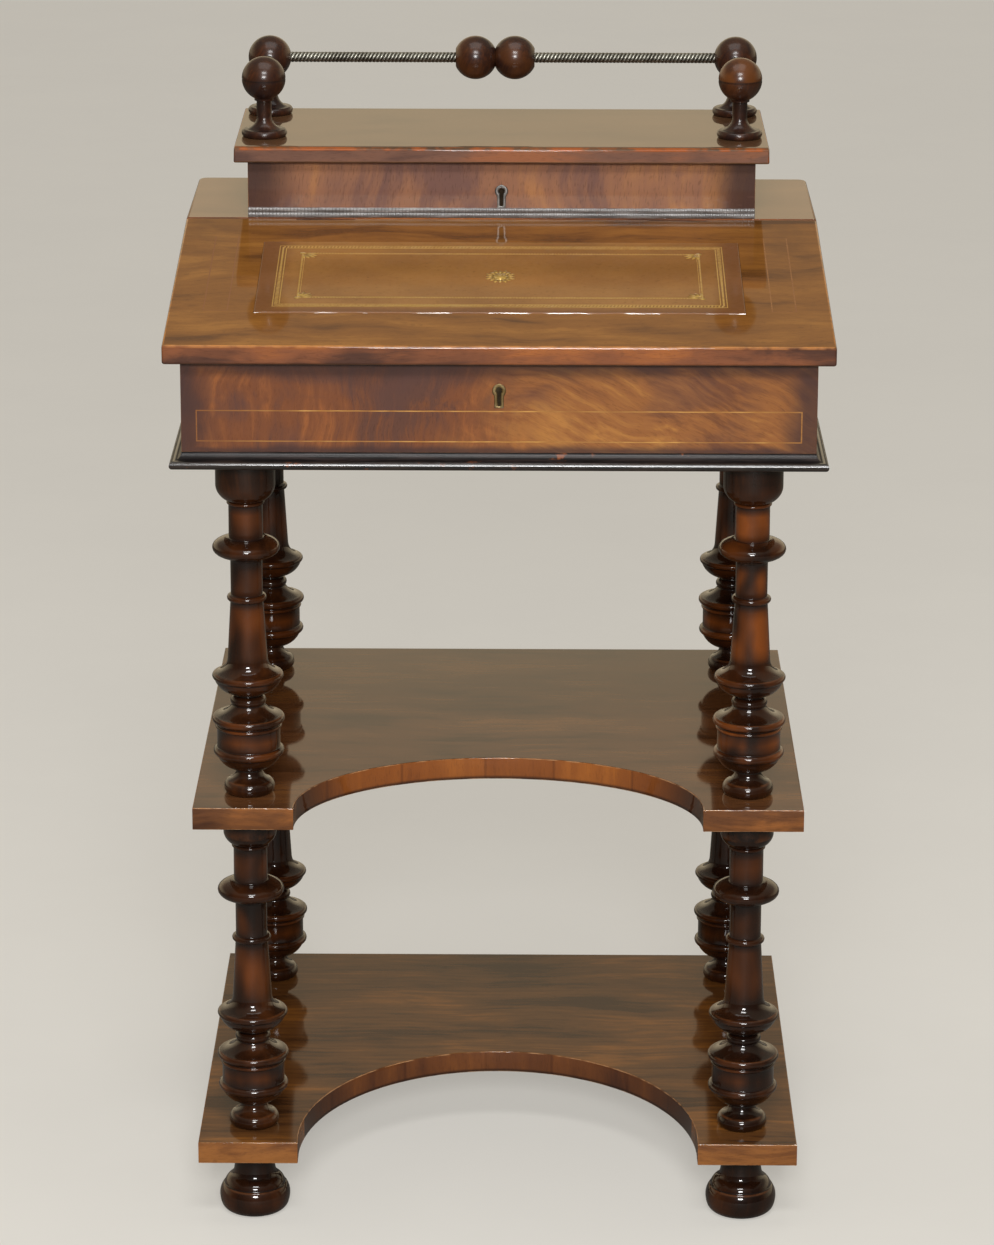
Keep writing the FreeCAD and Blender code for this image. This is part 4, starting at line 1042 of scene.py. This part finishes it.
def makeRollTree():
    inputs = {"Geometry": ["Path"], "Float": ["Spacing", "Leaf Length", "Leaf Width", "Lean"],
              "Vector": ["Lid Normal"]}
    tree, given = newTree("toolingRoll", inputs)
    path = geo("MeshToCurve", {"Mesh": given["Path"]})
    spacing = {"Curve": path, "Length": given["Spacing"]}
    spots = follow("GeometryNodeCurveToPoints", spacing, mode="LENGTH")
    leaf = begin(tree, "MeshUVSphere", {"Segments": 6, "Rings": 3, "Radius": 0.5})
    size = shade("CombineXYZ", {0: given["Leaf Length"], 1: given["Leaf Width"], 2: 0.16 * mm})
    lean = shade("CombineXYZ", {2: given["Lean"]})
    flat = geo("Transform", {"Geometry": leaf, "Scale": size})
    flat = geo("Transform", {"Geometry": flat, "Rotation": lean})
    level = rule("AlignRotationToVector", {"Vector": given["Lid Normal"]}, axis="Z")
    facing = rule("AlignRotationToVector", {"Rotation": level, "Vector": spots["Tangent"]},
                  axis="X", pivot_axis="Z")
    leaves = geo("InstanceOnPoints", {"Points": spots["Points"], "Instance": flat, "Rotation": facing})
    return closeTree(tree, leaves, given)


tooling = {
    "band": {"half": 183.0, "near": 90.0, "far": 228.0, "lean": 0.62,
             "sizes": {"Spacing": 2.9, "Leaf Length": 4.6, "Leaf Width": 2.1}},
    "inner": {"half": 166.0, "near": 108.0, "far": 213.0, "lean": 0.0,
              "sizes": {"Spacing": 2.5, "Leaf Length": 2.7, "Leaf Width": 1.9}},
    "line": 0.8, "lineRise": (-0.05, 0.05), "leafRise": (-0.015, 0.10), "bandReach": 2.7, "fineLine": 0.4,
    "fineInset": 1.8,
    "corner": {"spread": (-40, -20, 0, 20, 40), "distance": 9.5, "nearer": 0.05, "length": 13.0,
               "shorter": 0.06, "width": 3.4, "heart": 6.4},
    "rosette": {"place": 158.5, "across": 13.0, "along": 15.5, "petals": (8.4, 3.7), "heart": (5.4, 3.2),
                "petalCount": 16, "petalShares": (0.66, 0.74), "heartCount": 10, "heartShare": 0.33,
                "ground": 1.3},
}


def makeGoldLines(height):
    bm = bmesh.new()
    line = [height + rise for rise in tooling["lineRise"]]
    leaf = [height + rise for rise in tooling["leafRise"]]
    band, inner, inset = tooling["band"], tooling["inner"], tooling["fineInset"]
    corner = tooling["corner"]
    for reach in (-tooling["bandReach"], tooling["bandReach"]):
        lineFrame(bm, band["half"] + reach, band["near"] - reach, band["far"] + reach, tooling["line"], *line)
    fine = (inner["half"] - inset, inner["near"] + inset, inner["far"] - inset, tooling["fineLine"])
    lineFrame(bm, *fine, *line)
    for sideX in (-1, 1):
        for sideS, base in ((1, inner["near"]), (-1, inner["far"])):
            cornerX = sideX * inner["half"]
            for spread in corner["spread"]:
                angle = atan2(sideS, -sideX) + radians(spread)
                distance = corner["distance"] - abs(spread) * corner["nearer"]
                length = corner["length"] - abs(spread) * corner["shorter"]
                leafInto(bm, cornerX + cos(angle) * distance, base + sin(angle) * distance, angle,
                         length, corner["width"], *leaf)
            leafInto(bm, cornerX, base, 0, corner["heart"], corner["heart"], *leaf)
    look = tooling["rosette"]
    place, across, along = look["place"], look["across"], look["along"]
    for index, turn in enumerate(circle(look["petalCount"])):
        share = look["petalShares"][index % 2]
        angle = atan2(along * sin(turn), across * cos(turn))
        leafInto(bm, across * share * cos(turn), place + along * share * sin(turn), angle,
                 *look["petals"], *leaf)
    share = look["heartShare"]
    for turn in circle(look["heartCount"]):
        leafInto(bm, across * share * cos(turn), place + along * share * sin(turn), turn,
                 *look["heart"], *leaf)
    leafInto(bm, 0, place, 0, across * look["ground"], along * look["ground"], *leaf)
    return newPiece("goldLines", meshFrom(bm, "goldLines"), "toolingGold")


def makeTooling():
    tree = makeRollTree()
    height = leatherSheet["proud"]
    objects = []
    for key in ("band", "inner"):
        look = tooling[key]
        bm = bmesh.new()
        corners = [(-look["half"], look["near"]), (look["half"], look["near"]),
                   (look["half"], look["far"]), (-look["half"], look["far"])]
        verts = [bm.verts.new(onLid(x, s, height)) for x, s in corners]
        for first, second in zip(verts, verts[1:] + verts[:1]):
            bm.edges.new((first, second))
        others = {"Lean": look["lean"], "Lid Normal": offLid}
        path = meshFrom(bm, key)
        name = pieceName("goldLeaf_" + key)
        objects.append(bakeTree(name, tree, path, "toolingGold", look["sizes"], others))
    objects.append(makeGoldLines(height))
    for obj in objects:
        addTrim(obj, "writing_leather")


lidInlay = {"outer": 241.5, "inner": 222.0, "near": 79.6, "far": 256.0, "width": 1.0,
            "low": -0.25, "high": 0.03}


def makeLidInlay():
    bm = bmesh.new()
    outer, inner, near, far, width, low, high = lidInlay.values()
    reach = width / 2
    for side in (-1, 1):
        for x in (outer, inner):
            stripBox(bm, (side * x, near), (side * x, far), width, low, high)
        start, end = (side * (inner + reach), near + reach), (side * (outer - reach), near + reach)
        stripBox(bm, start, end, width, low, high)
    addTrim(newPiece("lidStringing", meshFrom(bm, "lidStringing"), "fadedBoxwood"), "writing_lid")


makeTooling()
makeLidInlay()
print("leather and tooling done")

reedLook = {"ripple": 0.34, "pitch": 3.0, "step": 0.5, "points": 9, "reach": 80}


def makeReed():
    lowest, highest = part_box("stationery_base_reed")
    height = (highest.z - lowest.z) / 2
    deep = highest.y - lowest.y
    last = reedLook["points"] - 1
    section = [(highest.y, lowest.z)]
    for part in range(2):
        middle = lowest.z + height * (part + 0.5)
        for index in range(reedLook["points"]):
            angle = radians(-reedLook["reach"] + 2 * reedLook["reach"] * index / last)
            back = deep * (1 - cos(angle)) * 0.5
            section.append((lowest.y + back, middle + height / 2 * sin(angle)))
    section.append((highest.y, highest.z))
    bm = bmesh.new()
    rows = []
    stations = int((highest.x - lowest.x) / mm / reedLook["step"])
    for station in range(stations + 1):
        x = lowest.x + (highest.x - lowest.x) * station / stations
        wave = cos(2 * pi * (x / mm) / reedLook["pitch"])
        inset = reedLook["ripple"] * mm * (0.5 - 0.5 * wave)
        rows.append([bm.verts.new((x, y if y == highest.y else y + inset, z)) for y, z in section])
    skin(bm, rows)
    closeEnds(bm, rows, True)
    bmesh.ops.recalc_face_normals(bm, faces=bm.faces)
    mesh = meshFrom(bm, "rippleReed", shaping["sharpRim"])
    # the reed's material carries a painted sheen
    standFor(newPiece("rippleReed", mesh, "reedBlack"), "stationery_base_reed")


makeReed()

rodLook = {"sizes": {"Strand": 1.5, "Helix": 3.1, "Core": 3.2}, "lead": 13.0,
           "counts": {"Strands": 4, "Smooth": 20}}


def makeRodTree():
    inputs = {"Geometry": ["Source"], "Float": ["Length", "Turns", "Strand", "Helix", "Core"],
              "Int": ["Strands", "Smooth"], "Vector": ["Turn", "Place"]}
    tree, given = newTree("twistedRod", inputs)
    spiral = {"Resolution": given["Smooth"], "Rotations": given["Turns"], "Height": given["Length"],
              "Start Radius": given["Helix"], "End Radius": given["Helix"]}
    section = geo("CurvePrimitiveCircle", {"Resolution": 10, "Radius": given["Strand"]})
    strand = geo("CurveToMesh", {"Curve": geo("CurveSpiral", spiral), "Profile Curve": section,
                                 "Fill Caps": True})
    flat = shade("VectorMath", {0: begin(tree, "InputPosition"), 1: (1, 1, 0)}, operation="MULTIPLY")
    out = follow("ShaderNodeVectorMath", {0: flat}, operation="LENGTH")["Value"]
    tip = over(minus(out, given["Helix"]), given["Strand"])
    strand = geo("StoreNamedAttribute", {"Geometry": strand, "Name": "tip", "Value": tip},
                 data_type="FLOAT", domain="POINT")
    half = shade("CombineXYZ", {2: times(given["Length"], -0.5)})
    strand = geo("Transform", {"Geometry": strand, "Translation": half})
    starts = geo("MeshLine", {"Count": given["Strands"], "Offset": (0, 0, 0)})
    angle = times(begin(tree, "InputIndex"), over(2 * pi, given["Strands"]))
    swing = shade("CombineXYZ", {2: angle})
    strands = geo("InstanceOnPoints", {"Points": starts, "Instance": strand, "Rotation": swing})
    core = geo("MeshCylinder", {"Vertices": 24, "Radius": given["Core"], "Depth": given["Length"]})
    whole = addNode(tree, "GeometryNodeJoinGeometry")
    for part in (core, strands):
        tree.links.new(part, whole.inputs[0])
    smooth = geo("SetShadeSmooth", {0: whole.outputs[0]})
    laid = geo("Transform", {"Geometry": smooth, "Rotation": given["Turn"],
                             "Translation": given["Place"]})
    return closeTree(tree, laid, given)


def makeRods():
    tree = makeRodTree()
    for node, axis in (("gallery_back_rod", 0), ("gallery_left_rod", 1), ("gallery_right_rod", 1)):
        lowest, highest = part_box(node)
        length = highest[axis] - lowest[axis]
        turn = (pi / 2, 0, 0) if axis else (0, pi / 2, 0)
        others = {**rodLook["counts"], "Length": length, "Turns": length / mm / rodLook["lead"], "Turn": turn,
                  "Place": (lowest + highest) / 2}
        name = pieceName(node)
        empty = bpy.data.meshes.new(name + "Empty")
        standFor(bakeTree(name, tree, empty, "rodMetal", rodLook["sizes"], others), node)


makeRods()
print("reed and rods done")


keyhole = {"ring": 3.0, "round": 0.7, "steps": 30, "point": 1.3, "pointReach": 24, "foot": 1.2, "taper": 0.72,
           "outerHalf": 0.7, "innerHalf": 0.55, "innerDrop": 1.4, "recessFront": 0.12, "recessThick": 0.10,
           "main_escutcheon": ("agedBrass", "dimBrass"), "stationery_escutcheon": ("paleSteel", "sootyIron")}


def keyholeShape(radius, half, drop, point):
    reach = acos(half / radius)
    steps, foot, narrow = keyhole["steps"], keyhole["foot"] - drop, half * keyhole["taper"]
    shape = [Vector((half, foot))]
    for index in range(steps + 1):
        angle = -reach + (pi + 2 * reach) * index / steps
        peak = point * max(0.0, 1 - abs(degrees(angle) - 90) / keyhole["pointReach"])
        shape.append(Vector((cos(angle), sin(angle))) * (radius + peak))
    return shape + [Vector((-half, foot)), Vector((-narrow, -drop)), Vector((narrow, -drop))]


def rowAt(bm, shape, centre, y):
    return [bm.verts.new((centre.x + point.x * mm, y, centre.z + point.y * mm)) for point in shape]


def ringBetween(name, outer, inner, centre, front, back, sheet):
    soft = keyhole["round"]
    middle = [(a + b) / 2 for a, b in zip(outer, inner)]

    def toward(start, share):
        return [point + (goal - point).normalized() * share for point, goal in zip(start, middle)]

    rows = [(outer, back), (outer, front + soft * mm), (toward(outer, 0.3 * soft), front + 0.3 * soft * mm),
            (toward(outer, soft), front), (toward(inner, soft), front),
            (toward(inner, 0.3 * soft), front + 0.3 * soft * mm), (inner, front + soft * mm), (inner, back)]
    bm = bmesh.new()
    loops = [rowAt(bm, shape, centre, y) for shape, y in rows]
    skin(bm, loops + loops[:1])
    bmesh.ops.recalc_face_normals(bm, faces=bm.faces)
    return newPiece(name, meshFrom(bm, name, shaping["sharpRim"]), sheet)


def makeFitting(node):
    lowest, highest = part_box(node)
    name = pieceName(node)
    radius = (highest.x - lowest.x) / 2 / mm
    drop = (highest.z - lowest.z) / mm - radius
    centre = Vector(((lowest.x + highest.x) / 2, lowest.y, highest.z - radius * mm))
    outer = keyholeShape(radius, radius * keyhole["outerHalf"], drop, keyhole["point"])
    opening = radius - keyhole["ring"]
    inner = keyholeShape(opening, opening * keyhole["innerHalf"], drop - keyhole["innerDrop"], 0.0)
    sheet, shadeSheet = keyhole[node]
    standFor(ringBetween(name, outer, inner, centre, lowest.y, highest.y, sheet), node)
    # a dark sheet inside the ring's opening is painted shade for the hollow of the keyhole
    bm = bmesh.new()
    level = highest.y - keyhole["recessFront"] * mm
    rows = [rowAt(bm, inner, centre, y) for y in (level, level + keyhole["recessThick"] * mm)]
    skin(bm, rows, False)
    closeEnds(bm, rows)
    bmesh.ops.recalc_face_normals(bm, faces=bm.faces)
    addTrim(newPiece(name + "Recess", meshFrom(bm, name + "Recess"), shadeSheet), node)


for node in ("main_escutcheon", "stationery_escutcheon"):
    makeFitting(node)

screwLook = {"Head": 2.2, "Head Height": 1.4, "Shank": 1.1, "Length": 8.0, "Slot Width": 0.6,
             "Slot Depth": 0.7}
screwShares = {"shank": 0.96, "length": 0.9, "middle": -0.55, "slot": 3.0, "deep": 2.0, "sides": 24}


def screwSpots(node):
    bm = cadShape(node)
    spots = []
    seen = set()
    for start in bm.faces:
        if start in seen:
            continue
        seen.add(start)
        island = [start]
        for face in island:
            for edge in face.edges:
                fresh = [other for other in edge.link_faces if other not in seen]
                seen.update(fresh)
                island += fresh
        areas = {}
        for face in island:
            key = tuple(round(value, 3) for value in face.normal)
            areas[key] = areas.get(key, 0.0) + face.calc_area()
        outward = Vector(max(areas, key=areas.get)).normalized()  # the flat head is the largest face
        places = {vert.co.copy().freeze() for face in island for vert in face.verts}
        reach = max(place.dot(outward) for place in places)
        head = [place for place in places if reach - place.dot(outward) < shaping["flush"] * mm]
        spots.append((sum(head, Vector()) / len(head), outward))
    bm.free()
    return spots


def makeScrewTree():
    look = screwShares
    tree, given = newTree("slottedScrew", {"Geometry": ["Spots"], "Float": list(screwLook), "Int": ["Seed"]})
    head = geo("MeshCone", {"Vertices": look["sides"], "Radius Top": given["Head"],
                            "Radius Bottom": given["Shank"], "Depth": given["Head Height"]})
    sink = shade("CombineXYZ", {2: times(given["Head Height"], -1.0)})
    head = geo("Transform", {"Geometry": head, "Translation": sink})
    shank = geo("MeshCylinder", {"Vertices": look["sides"], "Radius": times(given["Shank"], look["shank"]),
                                 "Depth": times(given["Length"], look["length"])})
    deep = shade("CombineXYZ", {2: times(given["Length"], look["middle"])})
    shank = geo("Transform", {"Geometry": shank, "Translation": deep})
    across = shade("CombineXYZ", {0: times(given["Head"], look["slot"]), 1: given["Slot Width"],
                                  2: times(given["Slot Depth"], look["deep"])})
    slot = geo("MeshCube", {"Size": across})
    whole = addNode(tree, "GeometryNodeMeshBoolean", operation="UNION", solver="EXACT")
    for part in (head, shank):
        tree.links.new(part, whole.inputs["Mesh 2"])
    cut = geo("MeshBoolean", {"Mesh 1": whole.outputs[0], "Mesh 2": slot},
              operation="DIFFERENCE", solver="EXACT")
    outward = begin(tree, "InputNamedAttribute", {"Name": "outward"}, data_type="FLOAT_VECTOR")
    facing = rule("AlignRotationToVector", {"Vector": outward}, axis="Z")
    chance = {2: 0.0, 3: pi, "Seed": given["Seed"]}
    swing = follow("FunctionNodeRandomValue", chance, data_type="FLOAT")[1]
    spin = rule("EulerToRotation", {0: shade("CombineXYZ", {2: swing})})
    facing = rule("RotateRotation", {0: facing, 1: spin}, rotation_space="LOCAL")
    screws = geo("InstanceOnPoints", {"Points": given["Spots"], "Instance": cut, "Rotation": facing})
    return closeTree(tree, screws, given)


def makeScrews():
    tree = makeScrewTree()
    for node in ("writing_lid_screws", "stationery_lid_screws", "fixed_hinge_screws", "lock_screws"):
        spots = screwSpots(node)
        name = pieceName(node)
        mesh = bpy.data.meshes.new(name + "Spots")
        mesh.from_pydata([place for place, outward in spots], [], [])
        layer = mesh.attributes.new("outward", "FLOAT_VECTOR", "POINT")
        layer.data.foreach_set("vector", [value for place, outward in spots for value in outward])
        standFor(bakeTree(name, tree, mesh, "dullSteel", screwLook, {"Seed": 7}), node)
        print("screws:", node, len(spots))


makeScrews()

# carried nodes keep their shape and take a surface
carried = {"brass": "hingeBrass", "steel": "dullSteel", "boxwood": "boxwood"}
lockParts = ("main_link_plate", "stationery_link_plate", "main_lock_case", "stationery_lock_case")
for node in sorted(set(cadNodes) - dressed):
    sheet = "agedBrass" if node in lockParts else carried.get(slotOf[node], "innerWood")
    cadNodes[node].data.materials.clear()
    cadNodes[node].data.materials.append(surfaces[sheet])
    print("carried:", node, sheet)

# lamps: power, width, height, place, target
studio = {"lamps": {"key": (88.0, 1.0, 0.55, (0.05, -3.95, 2.1), (0, 0, 0.55)),
                    "fill": (20.0, 1.6, 1.2, (0.05, -4.0, 2.1), (0, 0, 0.55)),
                    "strip": (32.0, 1.0, 0.5, (0.05, -2.2, 2.75), (0, -0.1, 0.7)),
                    "top": (9.0, 1.6, 1.2, (0, -0.2, 2.6), (0, 0, 0.5))},
          "wall": (0.82, 0.675, 0.45), "above": (0.26, 0.23, 0.18), "room": (0.05, 0.048, 0.045),
          "shown": (0.80, 0.77, 0.71), "floor": (0.23, 0.22, 0.20), "paleFloor": (0.80, 0.78, 0.73),
          "mottle": (0.1, 0.1, 0.1), "floorHalf": 30, "floorDrop": 0.4, "floorShown": 0.5,
          "haze": ((0.283, 0.32, 0.3), (0.35, 0.46, 0.7)), "rise": (0.35, 0.8), "depth": (-0.35, 0.55)}


def makeLamp(name, power, wide, tall, spot, target):
    data = bpy.data.lights.new(name + "Lamp", "AREA")
    data.shape = "RECTANGLE"
    data.size = wide
    data.size_y = tall
    data.energy = power
    lamp = bpy.data.objects.new(name + "Lamp", data)
    lamp.location = spot
    lamp.rotation_euler = (Vector(target) - Vector(spot)).to_track_quat("-Z", "Y").to_euler()
    lamp.visible_glossy = name != "fill"  # soft light without a glare
    scene.collection.objects.link(lamp)


def makeRoom():
    world = bpy.data.worlds.new("room")
    scene.world = world
    world.use_nodes = True
    tree = world.node_tree
    where = addNode(tree, "ShaderNodeTexCoord").outputs["Generated"]
    y, z = axisOf(where, 1), axisOf(where, 2)
    # the wall dims in two steps
    haze = plus(*(fade(z, *step) for step in studio["haze"]))
    back = mixed(haze, studio["wall"], studio["above"])
    front = mixed(fade(z, *studio["rise"]), studio["room"], studio["above"])
    color = mixed(fade(y, *studio["depth"]), front, back)
    seen = addNode(tree, "ShaderNodeLightPath").outputs["Is Camera Ray"]
    tree.links.new(mixed(seen, color, studio["shown"]), tree.nodes["Background"].inputs["Color"])


def makeFloor():
    bm = bmesh.new()
    bmesh.ops.create_grid(bm, x_segments=1, y_segments=1, size=studio["floorHalf"])
    mesh = meshFrom(bm, "studioFloor")
    mesh.transform(Matrix.Translation((0, 0, -studio["floorDrop"] * mm)))
    shader, where = newSurface("floorPaint", 0.7, 0.0, 0.1, 0.0, 0.2)
    tree = shader.id_data
    mottle = fade(cloudy(where, 3.0, 4.0, 0.6), 0.3, 0.7, 0.06)
    seen = addNode(tree, "ShaderNodeLightPath").outputs["Is Camera Ray"]
    color = mixed(seen, studio["floor"], studio["paleFloor"])
    joinSurface(shader, mixed(mottle, color, studio["mottle"]))
    pale = addNode(tree, "ShaderNodeEmission", {"Color": studio["shown"]}).outputs[0]
    both = shade("MixShader", {0: times(seen, studio["floorShown"]), 1: shader.outputs[0], 2: pale})
    tree.links.new(both, tree.nodes["Material Output"].inputs["Surface"])
    newPiece("studioFloor", mesh, "floorPaint")


for name, look in studio["lamps"].items():
    makeLamp(name, *look)
makeRoom()
makeFloor()
print("scene ready")
